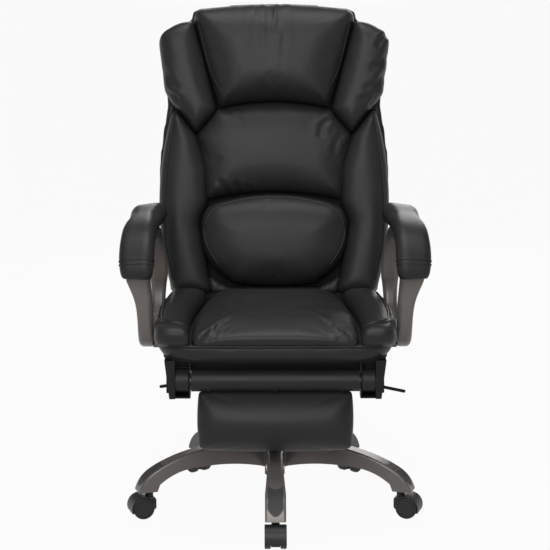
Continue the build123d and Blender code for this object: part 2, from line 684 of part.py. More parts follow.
def lift_pieces():
    tube_r = LIFT_TUBE_D / 2
    bore_r = tube_r - LIFT_TUBE_WALL
    low, floor_z = LIFT_TUBE_BOTTOM_Z, LIFT_TUBE_BOTTOM_Z + LIFT_FLOOR_T
    foot_r = hub_bore_r(HUB_BOTTOM_Z)
    spigot_r = SPIGOT_D / 2
    tube = turned((spigot_r + RUNNING_GAP, low), (foot_r, low), (foot_r, HUB_BOTTOM_Z), (tube_r, HUB_TOP_Z),
                  (tube_r, LIFT_TUBE_TOP_Z), (bore_r, LIFT_TUBE_TOP_Z), (bore_r, HUB_TOP_Z),
                  (foot_r - LIFT_TUBE_WALL, HUB_BOTTOM_Z), (foot_r - LIFT_TUBE_WALL, floor_z),
                  (spigot_r + RUNNING_GAP, floor_z))
    gas_r = GAS_D / 2
    bush_low, bush_high = LIFT_TUBE_TOP_Z - BUSH_L, LIFT_TUBE_TOP_Z + 3
    bush = turned((gas_r + RUNNING_GAP, bush_low), (bore_r - RUNNING_GAP, bush_low),
                  (bore_r - RUNNING_GAP, LIFT_TUBE_TOP_Z), (tube_r - 1, LIFT_TUBE_TOP_Z),
                  (tube_r - 1, bush_high), (gas_r + RUNNING_GAP, bush_high))
    rod_r = PISTON_ROD_D / 2
    bearing = turned((spigot_r + RUNNING_GAP, floor_z), (BEARING_D / 2, floor_z),
                     (BEARING_D / 2, floor_z + BEARING_T), (spigot_r + RUNNING_GAP, floor_z + BEARING_T))
    piston_low = GAS_FOOT_Z + LIFT_STROKE + GAS_GLAND_T + 4
    gas_bore_r = gas_r - GAS_WALL
    rod = turned((0, low - 2), (spigot_r, low - 2), (spigot_r, LIFT_BEARING_TOP_Z),
                 (rod_r + 3, LIFT_BEARING_TOP_Z), (rod_r + 3, LIFT_BEARING_TOP_Z + 5),
                 (rod_r, LIFT_BEARING_TOP_Z + 5), (rod_r, piston_low),
                 (gas_bore_r - RUNNING_GAP, piston_low), (gas_bore_r - RUNNING_GAP, piston_low + PISTON_T),
                 (0, piston_low + PISTON_T))
    valve_r = VALVE_D / 2
    head_z = GAS_TOP_Z - GAS_HEAD_T
    gas = turned((rod_r + RUNNING_GAP, GAS_FOOT_Z), (gas_r, GAS_FOOT_Z), (gas_r, GAS_TOP_Z),
                 (valve_r + RUNNING_GAP, GAS_TOP_Z), (valve_r + RUNNING_GAP, head_z), (gas_bore_r, head_z),
                 (gas_bore_r, GAS_FOOT_Z + GAS_GLAND_T), (rod_r + RUNNING_GAP, GAS_FOOT_Z + GAS_GLAND_T))
    button = rod_z(VALVE_TOP_Z - VALVE_L, VALVE_TOP_Z, VALVE_D)
    inner_r = tube_r + SLIDE_GAP
    upper_low = HOUSING_Z - LIFT_STROKE - COVER_OVERLAP - (HOUSING_Z - LIFT_TUBE_TOP_Z - 8)
    upper = turned((inner_r, upper_low), (inner_r + COVER_WALL, upper_low), (inner_r + COVER_WALL, HOUSING_Z),
                   (inner_r, HOUSING_Z))
    sleeve_r = inner_r + COVER_WALL + SLIDE_GAP
    sleeve_top = upper_low + LIFT_STROKE + COVER_OVERLAP
    lower = turned((sleeve_r, HUB_TOP_Z), (sleeve_r + COVER_WALL + 3, HUB_TOP_Z),
                   (sleeve_r + COVER_WALL + 3, HUB_TOP_Z + 4), (sleeve_r + COVER_WALL, HUB_TOP_Z + 10),
                   (sleeve_r + COVER_WALL, sleeve_top), (sleeve_r, sleeve_top))
    return {
        "lift_outer_tube": tube,
        "lift_guide_bush": bush,
        "lift_thrust_bearing": bearing,
        "lift_piston_rod": rod,
        "lift_gas_cylinder": gas,
        "lift_valve_button": button,
        "column_cover_upper": upper,
        "column_cover_lower": lower,
    }


# Seat mechanism and levers

BOLT_PLACES = [(x, y) for x in (-PLATE_HALF_X + 16, PLATE_HALF_X - 16)
               for y in (PLATE_FRONT_Y + 15, PLATE_REAR_Y - 15)]
ARM_BOLT_PLACES = [(side * ARM_BOLT_X, y) for side in (-1, 1) for y in LUG_YS]


def lever_ears(side, y):
    """Pair of ears on the housing wall, either side of a lever's hub."""
    inner = LEVER_HUB_W / 2 + SEAT_GAP
    low = LEVER_PIVOT_Z - LEVER_HUB_D / 2
    near, far = sorted((side * (HOUSING_HALF_X - HOUSING_WALL), side * (LEVER_PIVOT_X + LEVER_HUB_D / 2)))
    pair = None
    for face in (inner, -inner - EAR_T):
        ear = block(near, far, y + face, y + face + EAR_T, low, PLATE_Z)
        pair = ear if pair is None else pair + ear
    return pair


def seat_mechanism():
    """Pressed plate, open-sided housing, taper socket, lever ears and the spring's clevis, welded up."""
    plate = block(-PLATE_HALF_X, PLATE_HALF_X, PLATE_FRONT_Y, PLATE_REAR_Y, PLATE_Z, SEAT_BOARD_Z)
    plate = fillet(plate.edges().filter_by(Axis.Z), 18)
    housing = block(-HOUSING_HALF_X, HOUSING_HALF_X, HOUSING_FRONT_Y, HOUSING_REAR_Y, HOUSING_Z, PLATE_Z)
    housing = fillet(housing.edges().filter_by(Axis.Z), 14)
    cavity = block(-HOUSING_HALF_X + HOUSING_WALL, HOUSING_HALF_X - HOUSING_WALL,
                   HOUSING_FRONT_Y + HOUSING_WALL, HOUSING_REAR_Y - HOUSING_WALL,
                   HOUSING_Z + HOUSING_WALL, PLATE_Z)
    cavity = fillet(cavity.edges().filter_by(Axis.Z), 14 - HOUSING_WALL)
    body = plate + (housing - cavity) + rod_z(HOUSING_Z, GAS_TOP_Z - 3, SOCKET_D)
    clevis_pin = rod_x(-ROD_EYE_W, ROD_EYE_W, SPRING_FRONT_Y, SPRING_Z, CRANK_PIN_D)
    for side in (-1, 1):
        y = 0.0 if side < 0 else RECLINE_LEVER_Y
        body += lever_ears(side, y)
        near, far = sorted((side * (HOUSING_HALF_X - 2 * HOUSING_WALL), side * (HOUSING_HALF_X + 0.5)))
        body -= block(near, far, y - LEVER_HUB_W / 2, y + LEVER_HUB_W / 2,
                      LEVER_PIVOT_Z - LEVER_HUB_D / 2, PLATE_Z)
        pin = rod_y(y - 40, y + 40, side * LEVER_PIVOT_X, LEVER_PIVOT_Z, LEVER_PIN_D + RUNNING_GAP)
        body -= pin
        cheek = sorted((side * (ROD_EYE_W / 2 + SEAT_GAP), side * (ROD_EYE_W / 2 + SEAT_GAP + CRANK_CHEEK_T)))
        drop = block(cheek[0], cheek[1], SPRING_FRONT_Y - ROD_EYE_R, SPRING_FRONT_Y + ROD_EYE_R,
                     SPRING_Z, HOUSING_Z + HOUSING_WALL)
        body += drop + rod_x(cheek[0], cheek[1], SPRING_FRONT_Y, SPRING_Z, 2 * ROD_EYE_R)
    body += clevis_pin
    body -= rod_z(HOUSING_Z - 1, PLATE_Z, GAS_D + 2 * RUNNING_GAP)
    for x, y in BOLT_PLACES:
        body -= rod_z(PLATE_Z - 1, SEAT_BOARD_Z + 1, BOLT_D + 2 * RUNNING_GAP, x, y)
    return body


def bolt(x, y, under_head):
    """Bolt driven up from below, its head under a given height."""
    head = rod_z(under_head - BOLT_HEAD_H, under_head, BOLT_HEAD_D, x, y)
    head = chamfer(head.edges().group_by(Axis.Z)[0], 1.2)
    return head + rod_z(under_head, SEAT_BOARD_Z + SEAT_BOARD_T - 2, BOLT_D, x, y)


def lever(side, y, elbow, end, tongue_x):
    """Bent rod with a hub on the pin and a tongue that reaches into the housing."""
    pivot = (side * LEVER_PIVOT_X, LEVER_PIVOT_Z)
    points = [(x, y, z) for x, z in (pivot, elbow, end)]
    path = FilletPolyline(*points, radius=LEVER_BEND_R)
    start = Plane(origin=path @ 0, z_dir=path % 0)
    rod = sweep(start * Circle(LEVER_D / 2), path=path)
    tip = Pos(*points[-1]) * Sphere(LEVER_D / 2)
    hub = rod_y(y - LEVER_HUB_W / 2, y + LEVER_HUB_W / 2, pivot[0], pivot[1], LEVER_HUB_D)
    near, far = sorted((pivot[0], side * tongue_x))
    tongue = block(near, far, y - TONGUE_W / 2, y + TONGUE_W / 2, TONGUE_Z, TONGUE_Z + TONGUE_T)
    whole = rod + tip + hub + tongue
    return whole - rod_y(y - 20, y + 20, pivot[0], pivot[1], LEVER_PIN_D + 2 * RUNNING_GAP)


def mechanism_pieces():
    reach = LEVER_HUB_W / 2 + SEAT_GAP + EAR_T
    pins = [rod_y(y - reach, y + reach, side * LEVER_PIVOT_X, LEVER_PIVOT_Z, LEVER_PIN_D)
            for side, y in ((-1, 0.0), (1, RECLINE_LEVER_Y))]
    return {
        "seat_mechanism": seat_mechanism(),
        "mechanism_bolts": Compound(children=[bolt(x, y, PLATE_Z) for x, y in BOLT_PLACES]),
        "lever_pins": Compound(children=pins),
        "lift_lever": lever(-1, 0.0, LIFT_LEVER_ELBOW, LIFT_LEVER_END, -VALVE_D),
        "recline_lever": lever(1, RECLINE_LEVER_Y, RECLINE_LEVER_ELBOW, RECLINE_LEVER_END,
                               SOCKET_D / 2),
    }


# Seat

SEAT_OUTLINE = Outline(
    corners=((-SEAT_FRONT_HALF_W, SEAT_FRONT_Y), (SEAT_FRONT_HALF_W, SEAT_FRONT_Y),
             (SEAT_REAR_HALF_W, SEAT_REAR_Y), (-SEAT_REAR_HALF_W, SEAT_REAR_Y)),
    radii=(SEAT_FRONT_R, SEAT_FRONT_R, SEAT_REAR_R, SEAT_REAR_R),
    bulges=(SEAT_FRONT_BULGE, SEAT_SIDE_BULGE, 0.0, SEAT_SIDE_BULGE),
)


# The border's section from the board to the cushions' seam: inset, and share of its height
BORDER_SECTION = ((BORDER_TUCK, 0.0), (BORDER_TUCK / 6, 0.4), (0.0, 0.75), (BORDER_TOP_TUCK, 1.0))


def seat_pieces():
    board = slab(SEAT_FLOOR, SEAT_OUTLINE, SEAT_BOARD_INSET, 0, SEAT_BOARD_T)
    for x, y in BOLT_PLACES + ARM_BOLT_PLACES:
        board = board - rod_z(SEAT_BOARD_Z - 1, SEAT_BOARD_Z + SEAT_BOARD_T + 1, BOLT_D + 2 * RUNNING_GAP, x, y)
    border = Solid.make_loft([ring(SEAT_FLOOR, SEAT_OUTLINE, inset, BORDER_H * up)
                              for inset, up in BORDER_SECTION])
    pocket = slab(SEAT_FLOOR, SEAT_OUTLINE, SEAT_BOARD_INSET - SEAT_GAP, -1, SEAT_BOARD_T)
    cushion = Outline(
        corners=((-CUSHION_FRONT_HALF_W, SEAT_FRONT_Y), (CUSHION_FRONT_HALF_W, SEAT_FRONT_Y),
                 (CUSHION_REAR_HALF_W, CUSHION_REAR_Y), (-CUSHION_REAR_HALF_W, CUSHION_REAR_Y)),
        radii=(CUSHION_FRONT_R, CUSHION_FRONT_R, CUSHION_REAR_R, CUSHION_REAR_R),
        bulges=(SEAT_FRONT_BULGE - 1, SEAT_SIDE_BULGE, 0.0, SEAT_SIDE_BULGE),
    )
    bolster = Outline(
        corners=((CUSHION_FRONT_HALF_W + CUSHION_SEAM, SEAT_FRONT_Y), (SEAT_FRONT_HALF_W, SEAT_FRONT_Y),
                 (SEAT_REAR_HALF_W, CUSHION_REAR_Y), (CUSHION_REAR_HALF_W + CUSHION_SEAM, CUSHION_REAR_Y)),
        radii=(BOLSTER_INNER_R, BOLSTER_FRONT_R, CUSHION_REAR_R, BOLSTER_INNER_R),
        bulges=(0.0, SEAT_SIDE_BULGE - 1, 0.0, -SEAT_SIDE_BULGE),
    )
    left = pillow(SEAT, bolster, BOLSTER_REACH, BOLSTER_H)
    return {
        "seat_board": board,
        "seat_border": border - pocket,
        "seat_cushion": pillow(SEAT, cushion, CUSHION_REACH, CUSHION_H),
        "seat_bolster_left": left,
        "seat_bolster_right": mirrored(left),
    }


# Arms

def station(x, y, z, heading, width, thickness, roll=0.0, rounding=ARM_BAR_ROUND):
    """Rounded section of an arm, square to its path; heading is in degrees from -Y towards -Z."""
    along = (0, -cos(radians(heading)), -sin(radians(heading)))
    plane = Plane(origin=(x, y, z), x_dir=(1, 0, 0), z_dir=along)
    return plane * Rot(0, 0, -roll) * RectangleRounded(width, thickness, rounding * min(width, thickness))


def arm_frame():
    """Left arm: a closed loop moulded in four runs, each a bar that turns a corner."""
    top = ARM_TOP_Z - ARM_TOP_BAR_T / 2
    foot = ARM_FOOT_Z + ARM_BAR_T / 2
    rear_top_x = ARM_PAD_X - ARM_PAD_TOE_OUT
    top_mid = station(ARM_PAD_X - ARM_PAD_TOE_OUT / 2, -20, top, 2, ARM_HEAD_W, ARM_TOP_BAR_T)
    front_post = station(ARM_PAD_X - 2, ARM_POST_Y, top - ARM_POST_DROP, 92, ARM_HEAD_W - 4, ARM_BAR_T)
    foot_mid = station(ARM_FOOT_X - 4, -10, foot, 180, ARM_BAR_W, ARM_BAR_T)
    rear_post = station(ARM_REAR_X - 2, ARM_REAR_POST_Y, foot + ARM_WAIST_UP, 270, ARM_REAR_POST_W,
                        ARM_BAR_T - 2)
    runs = [
        [top_mid,
         station(ARM_PAD_X - 2, ARM_CROOK_Y, top - ARM_CROOK_DROP, 12, ARM_HEAD_W, ARM_TOP_BAR_T),
         station(ARM_PAD_X, ARM_SHOULDER_Y, top - ARM_SHOULDER_DROP, 58, ARM_HEAD_W, ARM_TOP_BAR_T + 4),
         front_post],
        [front_post,
         station(ARM_PAD_X - ARM_WAIST_SETBACK, ARM_WAIST_Y, foot + ARM_WAIST_UP, 98, ARM_BAR_W + 4, ARM_BAR_T),
         station(ARM_FOOT_X, ARM_ANKLE_Y, foot + ARM_ANKLE_UP, 110, ARM_BAR_W, ARM_BAR_T + 2),
         station(ARM_FOOT_X, ARM_TOE_Y, foot + ARM_TOE_UP, 148, ARM_BAR_W, ARM_BAR_T + 2),
         station(ARM_FOOT_X - 2, ARM_SOLE_FRONT_Y, foot, 176, ARM_BAR_W, ARM_BAR_T),
         foot_mid],
        [foot_mid,
         station(ARM_REAR_X + 7, ARM_SOLE_REAR_Y, foot, 182, ARM_REAR_W + 3, ARM_BAR_T),
         station(ARM_REAR_X + 3, ARM_HEEL_Y, foot + ARM_HEEL_UP, 204, ARM_REAR_W + 1, ARM_BAR_T),
         station(ARM_REAR_X, ARM_CALF_Y, foot + ARM_CALF_UP, 240, ARM_REAR_W, ARM_BAR_T),
         rear_post],
        [rear_post,
         station(ARM_REAR_X + 2, ARM_NAPE_Y, top - ARM_NAPE_DROP, 278, ARM_REAR_POST_W, ARM_BAR_T - 2),
         station(rear_top_x - 6, ARM_BEND_Y, top - ARM_BEND_DROP, 322, ARM_REAR_POST_W + 2, ARM_TOP_BAR_T + 2),
         station(rear_top_x + 1, 46, top + 2, 357, ARM_HEAD_W - 8, ARM_TOP_BAR_T),
         top_mid],
    ]
    frame = loft(runs[0])
    for run in runs[1:]:
        frame += loft(run)
    for y in LUG_YS:
        lug = block(LUG_INNER_X, ARM_REAR_X, y - LUG_W / 2, y + LUG_W / 2, SEAT_BOARD_Z - LUG_T, SEAT_BOARD_Z)
        lug = fillet(lug.edges().filter_by(Axis.Z).group_by(Axis.X)[0], LUG_R)
        frame += lug
        frame -= rod_z(SEAT_BOARD_Z - LUG_T - 1, SEAT_BOARD_Z + 1, BOLT_D + 2 * RUNNING_GAP, ARM_BOLT_X, y)
    return frame


def pad_station(toe_out, y, drop, heading, trim):
    """Section of the arm pad: toe_out nearer to the seat, below the pad's middle, trimmed all round."""
    mid = ARM_TOP_Z + ARM_PAD_T / 2
    return station(ARM_PAD_X - toe_out, y, mid - drop, heading, ARM_PAD_W - trim, ARM_PAD_T - trim,
                   ARM_PAD_ROLL, ARM_PAD_ROUND)


def arm_pad(frame):
    """Left arm pad: a padded bar over the top of the loop, turned down at the front."""
    full_y = ARM_PAD_REAR_Y - ARM_PAD_TAPER_L
    body = loft([
        pad_station(ARM_PAD_TOE_OUT, ARM_PAD_REAR_Y, 6, 352, ARM_PAD_T / 2),
        pad_station(ARM_PAD_TOE_OUT, full_y, 1, 356, 2),
        pad_station(0.7 * ARM_PAD_TOE_OUT, 20, 0, 2, 0),
        pad_station(0.2 * ARM_PAD_TOE_OUT, -84, ARM_CROOK_DROP, 12, 0),
        pad_station(0, ARM_PAD_KNUCKLE_Y, ARM_PAD_KNUCKLE_DROP, 48, 0),
        pad_station(0, ARM_PAD_NOSE_Y, ARM_PAD_NOSE_DROP, 84, ARM_PAD_END_TRIM / 3),
        pad_station(0, ARM_PAD_NOSE_Y + 2, ARM_PAD_END_DROP, 94, ARM_PAD_END_TRIM),
    ])
    return max((body - frame).solids(), key=lambda s: s.volume)


def arm_pieces():
    frame = arm_frame()
    pad = arm_pad(frame)
    bolts = [bolt(x, y, SEAT_BOARD_Z - LUG_T) for x, y in ARM_BOLT_PLACES]
    return {
        "arm_frame_left": frame,
        "arm_frame_right": mirrored(frame),
        "arm_pad_left": pad,
        "arm_pad_right": mirrored(pad),
        "arm_bolts": Compound(children=bolts),
    }


# Recline hinge and its locking gas spring

def hinge_plate():
    """Left seat-side plate: a flange under the seat board and a web out to the pivot."""
    outer = HINGE_X + 1 + HINGE_PLATE_T
    flange = block(HINGE_X + 1, HINGE_X + 1 + HINGE_FLANGE_W, PIVOT_Y - HINGE_FLANGE_FRONT,
                   PIVOT_Y - HINGE_FLANGE_REAR,
                   SEAT_BOARD_Z - HINGE_PLATE_T, SEAT_BOARD_Z)
    low = PIVOT_Z - HINGE_BOSS_R
    front, rear = PIVOT_Y - HINGE_FLANGE_FRONT, PIVOT_Y - HINGE_FLANGE_REAR
    web = make_face(Polyline((front, SEAT_BOARD_Z), (front, SEAT_BOARD_Z - HINGE_WEB_H),
                             (PIVOT_Y - HINGE_WEB_BEND, low), (PIVOT_Y, low), (PIVOT_Y, SEAT_BOARD_Z - 4),
                             ((PIVOT_Y + rear) / 2, SEAT_BOARD_Z - 1), (rear, SEAT_BOARD_Z), close=True))
    plate = flange + cut_yz(HINGE_X + 1, outer, web)
    plate += rod_x(HINGE_X + 1, outer, PIVOT_Y, PIVOT_Z, 2 * HINGE_BOSS_R)
    return plate - rod_x(HINGE_X, outer + 1, PIVOT_Y, PIVOT_Z, SHAFT_D + 2 * RUNNING_GAP)


def recline_arm():
    """Left back-side arm: a web up from the pivot and a flange on the back of the board."""
    inner = HINGE_X - HINGE_PLATE_T
    rear = -BACK_BOARD_T
    web_mid = rear - PIVOT_SETBACK / 2 - 3
    web = BACK * Pos((inner + HINGE_X) / 2, (HINGE_ARM_UP - PIVOT_DROP) / 2, web_mid) * Box(
        HINGE_PLATE_T, HINGE_ARM_UP + PIVOT_DROP, 2 * (rear - web_mid))
    flange = BACK * Pos(HINGE_X - HINGE_FLANGE_W / 2, (HINGE_ARM_UP + BACK_FOOT) / 2,
                        rear - HINGE_PLATE_T / 2) * Box(HINGE_FLANGE_W, HINGE_ARM_UP - BACK_FOOT - 4,
                                                        HINGE_PLATE_T)
    boss = rod_x(inner, HINGE_X, PIVOT_Y, PIVOT_Z, 2 * HINGE_BOSS_R)
    bore = rod_x(inner - 1, HINGE_X + 1, PIVOT_Y, PIVOT_Z, SHAFT_D + RUNNING_GAP)
    return web + flange + boss - bore


def crank():
    """Collar on the shaft with two cheeks and the pin that drives the gas spring."""
    inner = ROD_EYE_W / 2 + SEAT_GAP
    outer = inner + CRANK_CHEEK_T
    body = rod_x(-outer, outer, PIVOT_Y, PIVOT_Z, SHAFT_D + 12)
    strap = make_face(Polyline((PIVOT_Y - 11, PIVOT_Z), (PIN_Y - ROD_EYE_R, PIN_Z), (PIN_Y + ROD_EYE_R, PIN_Z),
                               (PIVOT_Y + 11, PIVOT_Z), close=True))
    for low, high in ((-outer, -inner), (inner, outer)):
        body += cut_yz(low, high, strap)
        body += rod_x(low, high, PIN_Y, PIN_Z, 2 * ROD_EYE_R)
    body += rod_x(-outer, outer, PIN_Y, PIN_Z, CRANK_PIN_D)
    return body - rod_x(-outer - 1, outer + 1, PIVOT_Y, PIVOT_Z, SHAFT_D + RUNNING_GAP)


def spring_cylinder():
    """Gas spring body with its front eye on the clevis pin."""
    rear = SPRING_FRONT_Y + SPRING_L
    body = rod_y(SPRING_FRONT_Y + ROD_EYE_R + 4, rear, 0, SPRING_Z, SPRING_D)
    eye = rod_x(-ROD_EYE_W / 2, ROD_EYE_W / 2, SPRING_FRONT_Y, SPRING_Z, 2 * ROD_EYE_R)
    shank = rod_y(SPRING_FRONT_Y, SPRING_FRONT_Y + 2 * ROD_EYE_R, 0, SPRING_Z, ROD_EYE_W - 1)
    whole = body + eye + shank
    whole -= rod_x(-ROD_EYE_W, ROD_EYE_W, SPRING_FRONT_Y, SPRING_Z, CRANK_PIN_D + 2 * RUNNING_GAP)
    bore_end = SPRING_FRONT_Y + 3 * ROD_EYE_R
    return whole - rod_y(bore_end, rear + 1, 0, SPRING_Z, SPRING_ROD_D + 2 * RUNNING_GAP)


def spring_rod():
    """Gas spring rod with a slotted eye for the crank pin, which dips a little as the crank swings."""
    travel = 2 * CRANK_R * sin(radians(CRANK_LEAN))
    front = SPRING_FRONT_Y + 3 * ROD_EYE_R + travel + 3
    rod = rod_y(front, PIN_Y - ROD_EYE_R + 2, 0, SPRING_Z, SPRING_ROD_D)
    half = ROD_EYE_W / 2
    slot_half = CRANK_PIN_D / 2 + SEAT_GAP
    height = PIN_DIP + 2 * slot_half + 1
    eye = block(-half, half, PIN_Y - ROD_EYE_R, PIN_Y + ROD_EYE_R - 1, SPRING_Z - height / 2 - 4,
                SPRING_Z + height / 2 + 4)
    eye = fillet(eye.edges().filter_by(Axis.X), 5)
    slot = block(-half - 1, half + 1, PIN_Y - slot_half, PIN_Y + slot_half, SPRING_Z - height / 2,
                 SPRING_Z + height / 2)
    slot = fillet(slot.edges().filter_by(Axis.X), slot_half - 0.3)
    return rod + eye - slot


def recline_pieces():
    plate = hinge_plate()
    arm = recline_arm()
    reach = HINGE_X + 1 + HINGE_PLATE_T + 3
    return {
        "recline_hinge_plates": Compound(children=[plate, mirrored(plate)]),
        "recline_arms": Compound(children=[arm, mirrored(arm)]),
        "recline_shaft": rod_x(-reach, reach, PIVOT_Y, PIVOT_Z, SHAFT_D),
        "recline_crank": crank(),
        "recline_spring_cylinder": spring_cylinder(),
        "recline_spring_rod": spring_rod(),
    }


# Back

BACK_OUTLINE = Outline(
    corners=((-HIP_HALF_W, BACK_FOOT), (HIP_HALF_W, BACK_FOOT), (WAIST_HALF_W, WAIST_UP),
             (WING_HALF_W, WING_UP), (HEAD_TOP_HALF_W - 4, NECK_UP), (HEAD_TOP_HALF_W + 1, HEAD_TOP_UP + 3),
             (-HEAD_TOP_HALF_W - 1, HEAD_TOP_UP + 3), (-HEAD_TOP_HALF_W + 4, NECK_UP),
             (-WING_HALF_W, WING_UP), (-WAIST_HALF_W, WAIST_UP)),
    radii=(BACK_FOOT_R, BACK_FOOT_R, WAIST_R, WING_R, 4.0, HEAD_TOP_R, HEAD_TOP_R, 4.0, WING_R, WAIST_R),
    bulges=(0.0, HIP_BULGE, -2.0, 5.0, 0.0, HEAD_TOP_BULGE - 1, 0.0, 5.0, -2.0, HIP_BULGE),
)


def back_shell():
    """Board, and the padded rear cover with its pockets for the board and the recline arms."""
    board = slab(BACK, BACK_OUTLINE, BACK_BOARD_INSET, -BACK_BOARD_T, 0)
    cover = Solid.make_loft([ring(BACK, BACK_OUTLINE, inset, -COVER_DEPTH * deep)
                             for inset, deep in ((2.0, 0.0), (0.0, 0.3), (8.0, 0.7), (24.0, 1.0))])
    cover -= slab(BACK, BACK_OUTLINE, BACK_BOARD_INSET - SEAT_GAP, -BACK_BOARD_T, 1)
    for side in (-1, 1):
        pocket_deep = 2 * (PIVOT_SETBACK / 2 + 3) + SEAT_GAP
        cover -= BACK * Pos(side * (HINGE_X - HINGE_FLANGE_W / 2), HINGE_ARM_UP / 2,
                            -BACK_BOARD_T - pocket_deep / 2) * Box(
            HINGE_FLANGE_W + 2 * SEAT_GAP, HINGE_ARM_UP + 2 * SEAT_GAP, pocket_deep)
    return board, cover


def cushion_outlines():
    """Front of the back, seen from the front: cushions that fit together like tiles, one seam apart."""
    seam = CUSHION_SEAM
    head = Outline(
        corners=((-HEAD_FOOT_HALF_W, HEAD_FOOT_UP), (HEAD_FOOT_HALF_W, HEAD_FOOT_UP),
                 (HEAD_TOP_HALF_W, HEAD_TOP_UP), (-HEAD_TOP_HALF_W, HEAD_TOP_UP)),
        radii=(8.0, 8.0, HEAD_TOP_R, HEAD_TOP_R),
        bulges=(-HEAD_ARCH, 0.0, HEAD_TOP_BULGE, 0.0),
    )
    tip_x, tip_up = WING_TIP
    wing_out = (WAIST_HALF_W + 2, WAIST_UP + 26)
    wing = Outline(
        corners=((tip_x, tip_up), wing_out, (WING_HALF_W - 3, WING_UP - 6),
                 (HEAD_TOP_HALF_W - 6, NECK_UP - 4), (HEAD_FOOT_HALF_W + seam + 1, HEAD_FOOT_UP - seam)),
        radii=(6.0, 10.0, WING_R, 8.0, 8.0),
        bulges=(0.0, 0.0, 4.0, 0.0, 0.0),
    )
    wing_slope = (wing_out[1] - tip_up) / (wing_out[0] - tip_x)
    wing_foot = HEAD_FOOT_UP - seam
    shoulder = (tip_x - seam - 1, tip_up - seam / 2)
    waist = (SIDE_BOLSTER_INNER + 6, LUMBAR_TOP_UP + 7)
    middle = Outline(
        corners=((-waist[0], waist[1]), waist, shoulder, (HEAD_FOOT_HALF_W + 1, wing_foot - 1),
                 (-HEAD_FOOT_HALF_W - 1, wing_foot - 1), (-shoulder[0], shoulder[1])),
        radii=(10.0, 10.0, 12.0, 8.0, 8.0, 12.0),
        bulges=(-LUMBAR_ARCH, -4.0, 0.0, HEAD_ARCH, 0.0, -4.0),
    )
    lumbar = Outline(
        corners=((-LUMBAR_FOOT_HALF_W, LUMBAR_FOOT_UP), (LUMBAR_FOOT_HALF_W, LUMBAR_FOOT_UP),
                 (LUMBAR_HALF_W, LUMBAR_WIDE_UP), (LUMBAR_TOP_HALF_W, LUMBAR_TOP_UP),
                 (-LUMBAR_TOP_HALF_W, LUMBAR_TOP_UP), (-LUMBAR_HALF_W, LUMBAR_WIDE_UP)),
        radii=(20.0, 20.0, 20.0, 16.0, 16.0, 20.0),
        bulges=(4.0, LUMBAR_SIDE_BULGE, 6.0, LUMBAR_ARCH, 6.0, LUMBAR_SIDE_BULGE),
    )
    bolster_tip = WAIST_HALF_W - 13
    bolster = Outline(
        corners=((SIDE_BOLSTER_INNER, SIDE_BOLSTER_FOOT), (HIP_HALF_W - 1, SIDE_BOLSTER_FOOT),
                 (bolster_tip, tip_up - seam + wing_slope * (bolster_tip - tip_x - seam)),
                 (tip_x + seam, tip_up - seam),
                 (SIDE_BOLSTER_INNER + 13, LUMBAR_TOP_UP + 74), (SIDE_BOLSTER_INNER + 12, LUMBAR_TOP_UP),
                 (LUMBAR_HALF_W + 11, LUMBAR_WIDE_UP), (SIDE_BOLSTER_INNER + 14, LUMBAR_FOOT_UP + 45)),
        radii=(10.0, 18.0, 5.0, 10.0, 20.0, 12.0, 16.0, 30.0),
        bulges=(0.0, HIP_BULGE + 3, 0.0, 0.0, 0.0, 0.0, 0.0, 0.0),
    )
    lower = Outline(
        corners=((-SIDE_BOLSTER_INNER + seam, SIDE_BOLSTER_FOOT), (SIDE_BOLSTER_INNER - seam, SIDE_BOLSTER_FOOT),
                 (SIDE_BOLSTER_INNER + 5, LUMBAR_FOOT_UP + 22), (LUMBAR_FOOT_HALF_W + 8, LUMBAR_FOOT_UP - 9),
                 (-LUMBAR_FOOT_HALF_W - 8, LUMBAR_FOOT_UP - 9), (-SIDE_BOLSTER_INNER - 5, LUMBAR_FOOT_UP + 22)),
        radii=(8.0, 8.0, 5.0, 10.0, 10.0, 5.0),
        bulges=(0.0, 0.0, 0.0, 0.0, 0.0, 0.0),
    )
    return head, wing, middle, lumbar, bolster, lower


def back_pieces():
    board, cover = back_shell()
    head, wing, middle, lumbar, bolster, lower = cushion_outlines()
    wing_left = pillow(BACK, wing, WING_REACH, WING_H)
    bolster_left = pillow(BACK, bolster, SIDE_BOLSTER_REACH, SIDE_BOLSTER_H)
    return {
        "back_board": board,
        "back_cover": cover,
        "head_cushion": pillow(BACK, head, HEAD_REACH, HEAD_H),
        "wing_cushion_left": wing_left,
        "wing_cushion_right": mirrored(wing_left),
        "back_cushion": pillow(BACK, middle, BACK_CUSHION_REACH, BACK_CUSHION_H),
        "side_bolster_left": bolster_left,
        "side_bolster_right": mirrored(bolster_left),
        "lumbar_cushion": pillow(BACK, lumbar, LUMBAR_REACH, LUMBAR_H),
        "lower_back_panel": pillow(BACK, lower, LOWER_PANEL_REACH, LOWER_PANEL_H),
    }


# Footrest: rails and brackets that slide out, and a pad on a roller between them that flips up

def rail():
    """Left rail, a square tube open at the rear."""
    x0, x1 = RAIL_X - RAIL_W / 2, RAIL_X + RAIL_W / 2
    z0, z1 = RAIL_TOP_Z - RAIL_H, RAIL_TOP_Z
    tube = block(x0, x1, RAIL_FRONT_Y, RAIL_REAR_Y, z0, z1)
    return tube - block(x0 + RAIL_WALL, x1 - RAIL_WALL, RAIL_FRONT_Y + RAIL_WALL, RAIL_REAR_Y + 1,
                        z0 + RAIL_WALL, z1 - RAIL_WALL)


def cross_plate():
    """Upright plate welded between the two rails, behind the roller."""
    half = RAIL_X - RAIL_W / 2
    front = RAIL_FRONT_Y + CROSS_PLATE_SETBACK
    return block(-half, half, front, front + CROSS_PLATE_T, RAIL_TOP_Z - CROSS_PLATE_H, RAIL_TOP_Z)


